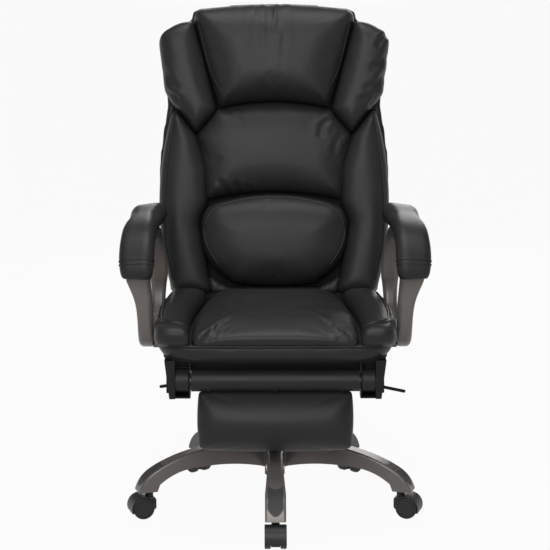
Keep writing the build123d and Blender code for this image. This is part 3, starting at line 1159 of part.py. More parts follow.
def guide():
    """Left guide, a channel under the seat board with turned-in lips that carry the rail."""
    half = RAIL_W / 2 + SLIDE_GAP
    low = RAIL_TOP_Z - RAIL_H - SLIDE_GAP
    body = block(RAIL_X - half - GUIDE_WALL, RAIL_X + half + GUIDE_WALL, GUIDE_FRONT_Y, GUIDE_REAR_Y,
                 low - GUIDE_WALL, SEAT_BOARD_Z)
    body -= block(RAIL_X - half, RAIL_X + half, GUIDE_FRONT_Y - 1, GUIDE_REAR_Y + 1, low,
                  SEAT_BOARD_Z - GUIDE_WALL)
    slot = half - GUIDE_LIP
    return body - block(RAIL_X - slot, RAIL_X + slot, GUIDE_FRONT_Y - 1, GUIDE_REAR_Y + 1,
                        low - GUIDE_WALL - 1, low + 1)


def bracket():
    """Left hanger: inner web, floor and tapered outer channel, folded from sheet and welded to the rail."""
    front, rear = ROLLER_Y - BRACKET_DEPTH / 2, ROLLER_Y + BRACKET_DEPTH / 2
    inner = ROLLER_HALF_L + 1.5
    drum_out = inner + BRACKET_T + 2 * SEAT_GAP + DRUM_W
    z0, z1 = BRACKET_FOOT_Z, BRACKET_TOP_Z
    web = make_face(Polyline((ROLLER_Y - 12, z0), (rear, z0), (rear, z1), (ROLLER_Y - 2, z1), close=True))
    body = cut_yz(inner, inner + BRACKET_T, web)
    body += rod_x(inner, inner + BRACKET_T, ROLLER_Y, ROLLER_Z, 36)
    body += block(inner, BRACKET_FOOT_HALF, front + 6, rear, z0, z0 + BRACKET_T)
    face = make_face(Polyline((drum_out + SEAT_GAP, z0), (BRACKET_FOOT_HALF, z0), (BRACKET_TOP_HALF, z1),
                              (drum_out + SEAT_GAP, z1), close=True))
    channel = extrude(Plane(origin=(0, rear, 0), x_dir=(1, 0, 0), z_dir=(0, -1, 0)) * face, rear - front)
    hollow = make_face(Polyline((drum_out - 1, z0 + BRACKET_T), (BRACKET_FOOT_HALF - BRACKET_T, z0 + BRACKET_T),
                                (BRACKET_TOP_HALF - BRACKET_T, z1 - BRACKET_T), (drum_out - 1, z1 - BRACKET_T),
                                close=True))
    channel -= extrude(Plane(origin=(0, rear + 1, 0), x_dir=(1, 0, 0), z_dir=(0, -1, 0)) * hollow,
                       rear - front - BRACKET_T + 1)
    body += channel + block(inner, drum_out + 2, ROLLER_Y - 2, rear, z1 - BRACKET_T, z1)
    body -= rod_x(inner - 1, BRACKET_TOP_HALF + 1, ROLLER_Y, ROLLER_Z, HINGE_ROD_D + RUNNING_GAP)
    return body


def drum():
    """Left end drum on the hinge rod, with rounded rims."""
    start = ROLLER_HALF_L + 1.5 + BRACKET_T + SEAT_GAP
    body = rod_x(start, start + DRUM_W, ROLLER_Y, ROLLER_Z, DRUM_D)
    body = fillet(body.edges().filter_by(GeomType.CIRCLE), 2)
    return body - rod_x(start - 1, start + DRUM_W + 1, ROLLER_Y, ROLLER_Z, HINGE_ROD_D + RUNNING_GAP)


def roller():
    """Hollow barrel that turns on the hinge rod, with a flange for the foot pad's board."""
    ends = ROLLER_HALF_L
    body = rod_x(-ends, ends, ROLLER_Y, ROLLER_Z, ROLLER_D)
    body = fillet(body.edges().filter_by(GeomType.CIRCLE), 1.5)
    body -= rod_x(-ends + 8, ends - 8, ROLLER_Y, ROLLER_Z, ROLLER_D - 2 * ROLLER_WALL)
    rear = ROLLER_Y + FOOT_BOARD_SETBACK + FOOT_BOARD_T
    flange = block(-FLANGE_HALF_L, FLANGE_HALF_L, rear, rear + FLANGE_T, ROLLER_Z - FLANGE_DROP,
                   ROLLER_Z - ROLLER_D / 5)
    body += flange - rod_x(-ends, ends, ROLLER_Y, ROLLER_Z, ROLLER_D - ROLLER_WALL)
    return body - rod_x(-ends - 1, ends + 1, ROLLER_Y, ROLLER_Z, HINGE_ROD_D + 2 * RUNNING_GAP)


def footrest_pieces():
    pad = Outline(
        corners=((-FOOT_PAD_HALF_W, FOOT_PAD_FOOT_Z), (FOOT_PAD_HALF_W, FOOT_PAD_FOOT_Z),
                 (FOOT_PAD_HALF_W, FOOT_PAD_TOP_Z), (-FOOT_PAD_HALF_W, FOOT_PAD_TOP_Z)),
        radii=(FOOT_PAD_FOOT_R, FOOT_PAD_FOOT_R, FOOT_PAD_TOP_R, FOOT_PAD_TOP_R),
        bulges=(4.0, 3.0, 0.0, 3.0),
    )
    rod_half = BRACKET_FOOT_HALF + 3
    left_rail = rail()
    pairs = {"footrest_guides": guide(), "footrest_brackets": bracket(), "footrest_drums": drum()}
    pieces = {name: Compound(children=[solid, mirrored(solid)]) for name, solid in pairs.items()}
    pieces["footrest_rails"] = Compound(children=[left_rail, mirrored(left_rail), cross_plate()])
    pieces["footrest_hinge_rod"] = rod_x(-rod_half, rod_half, ROLLER_Y, ROLLER_Z, HINGE_ROD_D)
    pieces["footrest_roller"] = roller()
    pieces["foot_pad_board"] = slab(FOOT, pad, FOOT_BOARD_INSET, -FOOT_BOARD_T, 0)
    pieces["foot_pad_cushion"] = pillow(FOOT, pad, FOOT_PAD_REACH, FOOT_PAD_T)
    return pieces


def chair_pieces():
    """Every piece of the chair by name."""
    pieces = {}
    for group in (base_pieces, caster_pieces, lift_pieces, mechanism_pieces, seat_pieces, arm_pieces,
                  recline_pieces, back_pieces, footrest_pieces):
        pieces.update(group())
    return pieces


os.makedirs("parts", exist_ok=True)
for name, shape in chair_pieces().items():
    export_step(shape, f"parts/{name}.step")
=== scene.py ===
"""Looks of a reclining office chair in black leather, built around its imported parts.

Metres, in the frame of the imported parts: the origin is on the floor under the gas lift, +Z is up,
the chair faces -Y and +X is the sitter's left.
"""
import json
import logging
from collections.abc import Mapping, Sequence
from dataclasses import dataclass, field
from enum import Enum
from math import cos, pi, radians, sin

import bmesh
import bpy
import numpy as np
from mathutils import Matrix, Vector
from mathutils.bvhtree import BVHTree
from numpy.typing import NDArray


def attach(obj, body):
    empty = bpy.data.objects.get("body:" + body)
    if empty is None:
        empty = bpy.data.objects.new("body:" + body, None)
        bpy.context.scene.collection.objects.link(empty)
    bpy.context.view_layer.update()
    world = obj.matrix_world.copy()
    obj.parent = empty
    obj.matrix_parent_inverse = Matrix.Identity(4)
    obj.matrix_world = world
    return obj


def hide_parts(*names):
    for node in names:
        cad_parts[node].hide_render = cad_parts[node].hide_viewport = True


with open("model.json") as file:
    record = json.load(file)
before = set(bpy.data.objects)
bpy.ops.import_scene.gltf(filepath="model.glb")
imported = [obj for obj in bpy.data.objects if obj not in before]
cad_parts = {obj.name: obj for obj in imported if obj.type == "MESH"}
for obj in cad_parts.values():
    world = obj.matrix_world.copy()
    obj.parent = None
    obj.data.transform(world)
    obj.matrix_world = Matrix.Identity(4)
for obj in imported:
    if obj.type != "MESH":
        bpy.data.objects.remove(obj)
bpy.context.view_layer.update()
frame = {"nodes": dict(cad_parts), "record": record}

Array = NDArray[np.float64]
Point = tuple[float, float, float]
Tree = bpy.types.NodeTree
Node = bpy.types.Node
Socket = str | int
X_AXIS, Y_AXIS, Z_AXIS = np.eye(3)
log = logging.getLogger("chair")


class Body(str, Enum):
    """Bodies that the new pieces ride on."""

    SEAT = "seat"
    BACK = "back"
    CARRIAGE = "footrest_carriage"
    FOOT_PAD = "foot_pad"


class Slot(str, Enum):
    """Material slots of the record."""

    LEATHER = "black_leather"
    NYLON = "titanium_nylon"
    STEEL = "black_steel"
    PLATED = "plated_steel"
    LIFT = "lift_steel"
    PLASTIC = "black_plastic"
    RUBBER = "grip_rubber"
    CASTER = "caster_nylon"
    PLYWOOD = "plywood"


# Shader nodes

def add_node(tree: Tree, kind: str, sockets: Mapping[Socket, object] | None = None,
             **options: object) -> Node:
    """Adds a shader node.

    Args:
        tree: node tree that it goes into.
        kind: Blender's name of its type.
        sockets: values of its inputs.
        options: choices of the node itself, set before its inputs.

    Returns:
        The node.
    """
    node = tree.nodes.new(kind)
    for option, value in options.items():
        setattr(node, option, value)
    for socket, value in (sockets or {}).items():
        node.inputs[socket].default_value = value
    return node


def wire(tree: Tree, *links: tuple[Node, Socket, Node, Socket]) -> None:
    """Links nodes.

    Args:
        tree: node tree that they are in.
        links: for each link a node, its output, the next node and its input.
    """
    for source, leaving, target, entering in links:
        tree.links.new(source.outputs[leaving], target.inputs[entering])


class Effects:
    """Shader node groups that finishes share, built once and placed in each with its own values."""

    def __init__(self) -> None:
        """Builds the groups."""
        self.grain = self._leather_grain()
        self.mottle = self._mottle()
        self.layers = self._layers()

    @staticmethod
    def _new(name: str, sizes: Mapping[str, float]) -> tuple[Tree, Node, Node]:
        """Starts a group that takes a vector and some sizes and puts out a height and a tone.

        Args:
            name: name of the group.
            sizes: default of each size, by socket.

        Returns:
            The node tree, its input node and its output node.
        """
        tree = bpy.data.node_groups.new(name, "ShaderNodeTree")
        tree.interface.new_socket("Vector", in_out="INPUT", socket_type="NodeSocketVector")
        for label, default in sizes.items():
            socket = tree.interface.new_socket(label, in_out="INPUT", socket_type="NodeSocketFloat")
            socket.default_value = default
        for label in ("Height", "Tone"):
            tree.interface.new_socket(label, in_out="OUTPUT", socket_type="NodeSocketFloat")
        return tree, tree.nodes.new("NodeGroupInput"), tree.nodes.new("NodeGroupOutput")

    def _leather_grain(self) -> Tree:
        """Pebbled grain: rounded cells with sunk borders, broken up by fine creases.

        The height is one less the distance from a cell's middle, plus a share of the creases. The tone is
        a broad cloud plus a share of the creases.

        Returns:
            The group.
        """
        tree, given, out = self._new("leather_grain", {"Cells": 620.0, "Creases": 0.35})
        cells = add_node(tree, "ShaderNodeTexVoronoi", {"Smoothness": 0.35}, feature="SMOOTH_F1")
        creases = add_node(tree, "ShaderNodeTexNoise", {"Scale": 210.0, "Detail": 5.0, "Roughness": 0.62})
        broad = add_node(tree, "ShaderNodeTexNoise", {"Scale": 16.0, "Detail": 3.0})
        rounded = add_node(tree, "ShaderNodeMath", {0: 1.0}, operation="SUBTRACT")
        weighted = add_node(tree, "ShaderNodeMath", operation="MULTIPLY_ADD")
        tone = add_node(tree, "ShaderNodeMath", {1: 0.45}, operation="MULTIPLY_ADD")
        wire(tree, *((given, "Vector", texture, "Vector") for texture in (cells, creases, broad)),
             (given, "Cells", cells, "Scale"), (cells, "Distance", rounded, 1),
             (creases, "Fac", weighted, 0), (given, "Creases", weighted, 1), (rounded, 0, weighted, 2),
             (creases, "Fac", tone, 0), (broad, "Fac", tone, 2),
             (weighted, 0, out, "Height"), (tone, 0, out, "Tone"))
        return tree

    def _mottle(self) -> Tree:
        """Uneven moulded or coated surface: a cloudy tone and a fine orange-peel height.

        Returns:
            The group.
        """
        tree, given, out = self._new("mottle", {"Clouds": 9.0, "Peel": 420.0})
        for label, wanted, detail in (("Clouds", "Tone", 4.0), ("Peel", "Height", 2.0)):
            noise = add_node(tree, "ShaderNodeTexNoise", {"Detail": detail})
            wire(tree, (given, "Vector", noise, "Vector"), (given, label, noise, "Scale"),
                 (noise, "Fac", out, wanted))
        return tree

    def _layers(self) -> Tree:
        """Stretched figure and thin plies, for plywood.

        Returns:
            The group.
        """
        tree, given, out = self._new("plies", {"Figure": 30.0, "Ply": 320.0})
        stretch = add_node(tree, "ShaderNodeMapping", {"Scale": (6.0, 0.5, 1.0)})
        figure = add_node(tree, "ShaderNodeTexNoise", {"Detail": 6.0})
        plies = add_node(tree, "ShaderNodeTexWave", {"Distortion": 0.6}, bands_direction="Z")
        wire(tree, (given, "Vector", stretch, "Vector"), (stretch, "Vector", figure, "Vector"),
             (given, "Figure", figure, "Scale"), (figure, "Fac", out, "Tone"),
             (given, "Vector", plies, "Vector"), (given, "Ply", plies, "Scale"),
             (plies, "Fac", out, "Height"))
        return tree


class Effect(Enum):
    """Which shared effect a finish uses."""

    GRAIN = "grain"
    MOTTLE = "mottle"
    PLIES = "layers"


TONE_RANGE = (0.3, 0.9)  # tones of an effect between which a finish goes from smooth to rough


@dataclass(frozen=True)
class Finish:
    """One material: two tones, two roughnesses and a relief that follow a shared effect.

    Attributes:
        name: name of the material.
        effect: shared effect that drives tone, roughness and relief.
        dark: colour where the effect is low.
        light: colour where the effect is high.
        smooth: roughness where the effect is low.
        rough: roughness where the effect is high.
        relief: strength of the bump.
        depth: height of the bump in metres.
        metallic: share of bare metal.
        specular: level of the mirror part of the gloss.
        settings: the effect's own sizes, by socket.
    """

    name: str
    effect: Effect
    dark: Point
    light: Point
    smooth: float
    rough: float
    relief: float = 0.2
    depth: float = 0.0004
    metallic: float = 0.0
    specular: float = 0.5
    settings: tuple[tuple[str, float], ...] = ()

    def material(self, effects: Effects) -> bpy.types.Material:
        """Builds the material.

        Args:
            effects: the shared node groups.

        Returns:
            The finished material.
        """
        made = bpy.data.materials.new(self.name)
        made.use_nodes = True
        tree = made.node_tree
        shader = tree.nodes["Principled BSDF"]
        shader.inputs["Metallic"].default_value = self.metallic
        shader.inputs["Specular IOR Level"].default_value = self.specular
        place = add_node(tree, "ShaderNodeTexCoord")
        effect = add_node(tree, "ShaderNodeGroup", node_tree=getattr(effects, self.effect.value))
        for label, value in self.settings:
            effect.inputs[label].default_value = value
        tones = add_node(tree, "ShaderNodeMix", {"A": (*self.dark, 1.0), "B": (*self.light, 1.0)},
                         data_type="RGBA")
        gloss = add_node(tree, "ShaderNodeMapRange", {"From Min": TONE_RANGE[0], "From Max": TONE_RANGE[1],
                                                      "To Min": self.smooth, "To Max": self.rough})
        bump = add_node(tree, "ShaderNodeBump", {"Strength": self.relief, "Distance": self.depth})
        wire(tree, (place, "Object", effect, "Vector"), (effect, "Tone", tones, "Factor"),
             (effect, "Tone", gloss, "Value"), (effect, "Height", bump, "Height"),
             (tones, "Result", shader, "Base Color"), (gloss, "Result", shader, "Roughness"),
             (bump, "Normal", shader, "Normal"))
        return made


FINISHES: dict[Slot, Finish] = {
    Slot.LEATHER: Finish("black_leather", Effect.GRAIN, (0.0130, 0.0127, 0.0130), (0.0190, 0.0186, 0.0190),
                         0.37, 0.47, relief=0.25, depth=0.0004, specular=0.15),
    Slot.NYLON: Finish("titanium_nylon", Effect.MOTTLE, (0.104, 0.093, 0.087), (0.136, 0.123, 0.115),
                       0.27, 0.36, relief=0.10, depth=0.0003, metallic=0.25, specular=0.30),
    Slot.STEEL: Finish("black_powder_coat", Effect.MOTTLE, (0.0060, 0.0060, 0.0064), (0.0105, 0.0105, 0.0110),
                       0.36, 0.50, relief=0.18, depth=0.0003, specular=0.14),
    Slot.PLATED: Finish("plated_steel", Effect.MOTTLE, (0.42, 0.42, 0.43), (0.56, 0.56, 0.57), 0.24, 0.40,
                        relief=0.06, depth=0.0002, metallic=1.0),
    Slot.LIFT: Finish("ground_steel", Effect.MOTTLE, (0.52, 0.52, 0.54), (0.62, 0.62, 0.64), 0.10, 0.20,
                      relief=0.03, depth=0.0002, metallic=1.0),
    Slot.PLASTIC: Finish("moulded_black_plastic", Effect.MOTTLE, (0.0110, 0.0110, 0.0115),
                         (0.0180, 0.0180, 0.0185), 0.38, 0.52, relief=0.22, depth=0.0003, specular=0.15,
                         settings=(("Peel", 900.0),)),
    Slot.RUBBER: Finish("grip_rubber", Effect.MOTTLE, (0.030, 0.030, 0.032), (0.046, 0.046, 0.048),
                        0.46, 0.60, relief=0.35, depth=0.0004, specular=0.18, settings=(("Peel", 1200.0),)),
    Slot.CASTER: Finish("caster_nylon", Effect.MOTTLE, (0.0170, 0.0170, 0.0180), (0.0250, 0.0250, 0.0260),
                        0.36, 0.50, relief=0.12, depth=0.0003, specular=0.20),
    Slot.PLYWOOD: Finish("stained_plywood", Effect.PLIES, (0.0040, 0.0034, 0.0030), (0.0085, 0.0070, 0.0060),
                         0.60, 0.75, relief=0.10, depth=0.0003, specular=0.10),
}


class Wardrobe:
    """Finished materials by slot, and how they are put on."""

    def __init__(self) -> None:
        """Builds every finish once."""
        effects = Effects()
        self.materials = {slot: finish.material(effects) for slot, finish in FINISHES.items()}

    def dress(self, piece: bpy.types.Object, slot: Slot) -> None:
        """Gives a piece one finish all over.

        Args:
            piece: mesh object.
            slot: record slot of the finish.
        """
        piece.data.materials.clear()
        piece.data.materials.append(self.materials[slot])

    def dress_parts(self) -> None:
        """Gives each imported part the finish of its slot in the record."""
        for row in frame["record"]["subparts"]:
            self.dress(frame["nodes"][row["node"]], Slot(row["material_slot"]))


# Work surfaces and paths

@dataclass(frozen=True)
class WorkPlane:
    """Flat surface that cushions are laid out on: across, up and out from an origin.

    Attributes:
        origin: a point of the surface.
        across: unit vector to the sitter's left.
        up: unit vector up the surface.
    """

    origin: Point
    across: Point
    up: Point

    @property
    def axes(self) -> Array:
        """Across, up and out as rows."""
        across, up = np.array(self.across), np.array(self.up)
        return np.array([across, up, np.cross(across, up)])

    def to_local(self, points: Array) -> Array:
        """Points of the model as across, up and out."""
        return (points - np.array(self.origin)) @ self.axes.T

    def to_world(self, points: Array) -> Array:
        """Across, up and out as points of the model."""
        return points @ self.axes + np.array(self.origin)


BACK_TILT = radians(10.0)
BACK_PLANE = WorkPlane((0.0, 0.20525, 0.42987), (1.0, 0.0, 0.0), (0.0, sin(BACK_TILT), cos(BACK_TILT)))
SEAT_PLANE = WorkPlane((0.0, 0.0, 0.438), (1.0, 0.0, 0.0), (0.0, 1.0, 0.0))
ARM_PLANE = WorkPlane((0.0, 0.0, 0.5), (1.0, 0.0, 0.0), (0.0, 1.0, 0.0))
FOOT_PLANE = WorkPlane((0.0, -0.222, 0.0), (1.0, 0.0, 0.0), (0.0, 0.0, 1.0))
SPLINE_STEPS = 24  # points between two knots of a curve
FEWEST_STEPS = 8  # points of the shortest curve
CORD_SIDES = 10


def run_length(line: Array) -> Array:
    """Distance along a line at each of its points."""
    return np.concatenate([[0.0], np.cumsum(np.linalg.norm(np.diff(line, axis=0), axis=1))])


def read_off(steps: Array, along: Array, rows: Array) -> Array:
    """Rows read off at steps along a line, straight between neighbours.

    Args:
        steps: distances along the line.
        along: distance at each row.
        rows: values, one row for each point of the line.

    Returns:
        One row for each step.
    """
    return np.stack([np.interp(steps, along, column) for column in rows.T], axis=1)


def smooth_path(points: Sequence[Sequence[float]], spacing: float) -> Array:
    """Catmull-Rom curve through points, then even steps along its length.

    Args:
        points: points that the curve passes through, in two or three dimensions.
        spacing: distance between the points that come back.

    Returns:
        Points along the curve, one row each.
    """
    knots = np.array(points, float)
    knots = np.vstack([2 * knots[0] - knots[1], knots, 2 * knots[-1] - knots[-2]])
    t = np.linspace(0.0, 1.0, SPLINE_STEPS, endpoint=False)[:, None, None]
    p0, p1, p2, p3 = knots[:-3], knots[1:-2], knots[2:-1], knots[3:]
    curve = 0.5 * (2 * p1 + (p2 - p0) * t + (2 * p0 - 5 * p1 + 4 * p2 - p3) * t ** 2
                   + (3 * p1 - p0 - 3 * p2 + p3) * t ** 3)
    line = np.vstack([curve.transpose(1, 0, 2).reshape(-1, knots.shape[1]), p2[-1]])
    along = run_length(line)
    steps = np.linspace(0.0, along[-1], max(FEWEST_STEPS, int(along[-1] / spacing)))
    return read_off(steps, along, line)


def unit_rows(rows: Array) -> Array:
    """Each row scaled to length one."""
    return rows / np.maximum(np.linalg.norm(rows, axis=-1, keepdims=True), 1e-12)


def circle(count: int, first: Array, second: Array) -> Array:
    """Unit circles: the cosine of a turn along one direction plus its sine along another.

    Args:
        count: points of each circle.
        first: direction at the start of the turn, or a row of it for each circle.
        second: direction a quarter turn on, or a row of it for each circle.

    Returns:
        Points, with the way round on the axis before the last.
    """
    turn = np.linspace(0, 2 * pi, count, endpoint=False)[:, None]
    return np.cos(turn) * first[..., None, :] + np.sin(turn) * second[..., None, :]


def grid_faces(rows: int, columns: int, wrap_rows: bool = False, wrap_columns: bool = False) -> Array:
    """Quads of a grid of vertices numbered row by row.

    Args:
        rows: number of rows.
        columns: number of columns.
        wrap_rows: whether the last row joins the first.
        wrap_columns: whether the last column joins the first.

    Returns:
        Four vertex numbers for each quad.
    """
    r = np.arange(rows if wrap_rows else rows - 1)[:, None]
    c = np.arange(columns if wrap_columns else columns - 1)[None, :]
    r2, c2 = (r + 1) % rows, (c + 1) % columns
    quads = np.stack([r * columns + c, r * columns + c2, r2 * columns + c2, r2 * columns + c], axis=-1)
    return quads.reshape(-1, 4)


def tube_faces(rings: int, sides: int) -> list[list[int]]:
    """Faces of a tube with a flat cap at each end.

    Args:
        rings: number of rings along the tube.
        sides: vertices in each ring.

    Returns:
        Vertex numbers of each face, the caps last.
    """
    caps = np.arange(rings * sides).reshape(rings, sides)[[0, -1]]
    return grid_faces(rings, sides, wrap_columns=True).tolist() + caps.tolist()


def add_object(name: str, data: bpy.types.ID) -> bpy.types.Object:
    """Object at the origin, linked to the scene.

    Args:
        name: name of the object.
        data: its mesh, lamp or camera.

    Returns:
        The object.
    """
    made = bpy.data.objects.new(name, data)
    bpy.context.scene.collection.objects.link(made)
    return made


def aim(made: bpy.types.Object, place: Point, target: Point) -> None:
    """Stands a lamp or camera at a place and turns it to a target.

    Args:
        made: the lamp or camera.
        place: where it stands.
        target: point that it faces.
    """
    made.location = place
    made.rotation_mode = "QUATERNION"
    made.rotation_quaternion = (Vector(target) - Vector(place)).to_track_quat("-Z", "Y")


def new_mesh(name: str, points: Array, faces: Array | Sequence[Sequence[int]]) -> bpy.types.Object:
    """Smooth-shaded mesh object at the origin.

    Args:
        name: name of the object.
        points: vertices, as rows of any grid.
        faces: vertex numbers of each face.

    Returns:
        The new object, linked to the scene.
    """
    mesh = bpy.data.meshes.new(name)
    numbers = faces.tolist() if isinstance(faces, np.ndarray) else faces
    mesh.from_pydata(points.reshape(-1, 3).tolist(), [], numbers)
    mesh.polygons.foreach_set("use_smooth", np.ones(len(mesh.polygons), bool))
    mesh.update()
    return add_object(name, mesh)


def point_outwards(piece: bpy.types.Object) -> bpy.types.Object:
    """Turns every face of a closed mesh outwards.

    Args:
        piece: mesh object.

    Returns:
        The same object.
    """
    work = bmesh.new()
    work.from_mesh(piece.data)
    bmesh.ops.recalc_face_normals(work, faces=work.faces)
    work.to_mesh(piece.data)
    work.free()
    return piece


def plate_mesh(name: str, points: Array, thickness: float) -> bpy.types.Object:
    """Thin plate about a grid of points, half its thickness to each side.

    Args:
        name: name of the object.
        points: grid of points, row by row.
        thickness: thickness of the plate.

    Returns:
        The plate as a mesh object.
    """
    made = new_mesh(name, points, grid_faces(*points.shape[:2]))
    wall = made.modifiers.new("thickness", "SOLIDIFY")
    wall.thickness = thickness
    wall.offset = 0.0
    return made


def cord_mesh(name: str, line: Array, normals: Array, radius: float, closed: bool) -> bpy.types.Object:
    """Round cord: a circle carried along a line, closed by rounded ends.

    Args:
        name: name of the object.
        line: centre line, one row for each ring.
        normals: direction away from the surface at each ring.
        radius: radius of the cord.
        closed: whether the line returns to its start.

    Returns:
        The cord as a mesh object.
    """
    if closed:
        ahead = unit_rows(np.roll(line, -1, axis=0) - np.roll(line, 1, axis=0))
        size = np.full(len(line), radius)
        faces = grid_faces(len(line), CORD_SIDES, True, True)
    else:
        ahead = unit_rows(np.gradient(line, axis=0))
        along = run_length(line)
        to_end = np.minimum(along, along[-1] - along) / radius
        size = radius * np.sqrt(np.clip(1 - np.clip(1 - to_end, 0, 1) ** 2, 1e-4, 1))
        faces = tube_faces(len(line), CORD_SIDES)
    out = unit_rows(normals - ahead * np.sum(normals * ahead, axis=1, keepdims=True))
    ring = circle(CORD_SIDES, out, np.cross(ahead, out))
    return point_outwards(new_mesh(name, line[:, None] + size[:, None, None] * ring, faces))


@dataclass
class Surface:
    """Finished cushion as a surface that seams are laid on.

    Attributes:
        piece: the cushion.
        drop_from: height over a work plane from which routes are dropped.
        tree: the cushion's faces, for rays.
    """

    piece: bpy.types.Object
    drop_from: float = 0.4
    tree: BVHTree = field(init=False)

    def __post_init__(self) -> None:
        """Reads the cushion with its modifiers."""
        self.tree = BVHTree.FromObject(self.piece, bpy.context.evaluated_depsgraph_get())

    def meet(self, starts: Array, ways: Array) -> tuple[Array, Array]:
        """First points that rays meet; a ray that misses is left out.

        Args:
            starts: where the rays start.
            ways: directions of the rays.

        Returns:
            Points on the surface and the surface's normals there.
        """
        hits = [self.tree.ray_cast(Vector(s), Vector(w)) for s, w in zip(starts, ways)]
        met = [(h[0], h[1]) for h in hits if h[0] is not None]
        points = np.array([p for p, _ in met], float).reshape(-1, 3)
        normals = np.array([n for _, n in met], float).reshape(-1, 3)
        return points, normals

    def lay(self, plane: WorkPlane, route: Array) -> tuple[Array, Array]:
        """A route on a work plane, dropped on the surface from above.

        Args:
            plane: work plane of the route.
            route: across and up of each point.

        Returns:
            Points on the surface and normals there.
        """
        starts = plane.to_world(np.column_stack([route, np.full(len(route), self.drop_from)]))
        return self.meet(starts, np.repeat(-plane.axes[2:3], len(route), axis=0))

    def ring(self, centre: Sequence[float], square: Array, rays: int, reach: float) -> tuple[Array, Array]:
        """Points all round a centre, found by rays that come in from a circle outside.

        Args:
            centre: point that the rays go to.
            square: direction that spans the circle's plane with the X axis.
            rays: number of rays.
            reach: radius of the circle.

        Returns:
            Points on the surface and normals there.
        """
        ways = circle(rays, X_AXIS, square)
        return self.meet(np.array(centre) + reach * ways, -ways)


@dataclass(frozen=True)
class Seam:
    """How a seam is sewn: a cord pressed half into the leather, with stitches beside it.

    Attributes:
        radius: radius of the cord.
        sink: share of the radius below the surface.
        spacing: distance between rings of the cord.
        stitch_offset: distance of the stitches from the cord, or 0 for none.
        stitch_length: length of a stitch.
        stitch_gap: gap between stitches.
        stitch_radius: thickness of the thread.
        stitch_rings: rings along a stitch.
        stitch_sides: vertices in each ring.
    """

    radius: float = 0.0016
    sink: float = 0.45
    spacing: float = 0.004
    stitch_offset: float = 0.0
    stitch_length: float = 0.0042
    stitch_gap: float = 0.0016
    stitch_radius: float = 0.00055
    stitch_rings: int = 5
    stitch_sides: int = 6

    def cord(self, name: str, points: Array, normals: Array, closed: bool = False) -> bpy.types.Object:
        """The cord along surface points.

        Args:
            name: name of the piece.
            points: points on the surface.
            normals: normals there.
            closed: whether the seam returns to its start.

        Returns:
            The cord.
        """
        line = points + normals * self.radius * (1 - 2 * self.sink)
        return cord_mesh(name, line, normals, self.radius, closed)

    def stitches(self, name: str, points: Array, normals: Array) -> bpy.types.Object:
        """A row of stitches beside the cord: short capsules, all in one mesh.

        Each stitch is rings along its length, thin at both ends and raised in the middle.

        Args:
            name: name of the piece.
            points: points on the surface.
            normals: normals there.

        Returns:
            The stitches.
        """
        ahead = unit_rows(np.gradient(points, axis=0))
        line = points + np.cross(normals, ahead) * self.stitch_offset
        along = run_length(line)
        pitch = self.stitch_length + self.stitch_gap
        middles = np.arange(pitch / 2, along[-1] - pitch / 2, pitch)
        centre = read_off(middles, along, line)
        way, out = (unit_rows(read_off(middles, along, rows)) for rows in (ahead, normals))
        t = np.linspace(-1.0, 1.0, self.stitch_rings)
        thick = np.sqrt(np.clip(1 - t ** 4, 0.04, 1)) * self.stitch_radius
        lift = (0.9 * (1 - t ** 2) - 0.2) * self.stitch_radius
        spine = (centre[:, None] + way[:, None] * (t * self.stitch_length / 2)[None, :, None]
                 + out[:, None] * lift[None, :, None])
        ring = circle(self.stitch_sides, out, np.cross(way, out))[:, None]
        first = self.stitch_rings * self.stitch_sides * np.arange(len(middles))[:, None]
        faces = [row for face in tube_faces(self.stitch_rings, self.stitch_sides)
                 for row in (first + np.array(face)).tolist()]
        return point_outwards(new_mesh(name, spine[:, :, None] + thick[None, :, None, None] * ring, faces))


# Cushions

@dataclass(frozen=True)
class Gathers:
    """Leather drawn up along a sewn edge: ridges that run off the edge and fade.

    The height at a point is depth times a cosine along the edge, times a bell along the edge and a
    fade away from it. Each ridge has its own reach, from a seeded draw.

    Attributes:
        start: across and up of the edge's start.
        end: across and up of the edge's end.
        ridges: number of ridges.
        depth: height of a ridge.
        reach: how far the ridges run.
        seed: seed of the draw.
    """

    start: tuple[float, float]
    end: tuple[float, float]
    ridges: int
    depth: float
    reach: float
    seed: int = 1

    def height(self, local: Array) -> Array:
        """Height of the gathers at points of the work plane.

        Args:
            local: across, up and out of each point.

        Returns:
            Height to add at each point.
        """
        draw = np.random.default_rng(self.seed)
        start, end = np.array(self.start), np.array(self.end)
        length = np.linalg.norm(end - start)
        way = (end - start) / length
        aside = np.array([-way[1], way[0]])
        from_start = local[:, :2] - start
        s, t = from_start @ way / length, from_start @ aside
        knots = np.linspace(-0.2, 1.2, 2 * self.ridges + 3)
        bent = s + 0.25 * t / self.reach * np.sin(7 * s)
        wander = np.interp(bent, knots, draw.uniform(-0.5, 0.5, len(knots)))
        reach = self.reach * np.interp(s, knots, draw.uniform(0.45, 1.1, len(knots)))
        weight = np.interp(s, knots, draw.uniform(0.35, 1.0, len(knots)))
        window = np.exp(-((s - 0.5) / 0.42) ** 4)
        fade = np.exp(-(t / reach) ** 2)
        wave = np.cos(2 * pi * (self.ridges * s + wander))
        return self.depth * weight * window * fade * wave


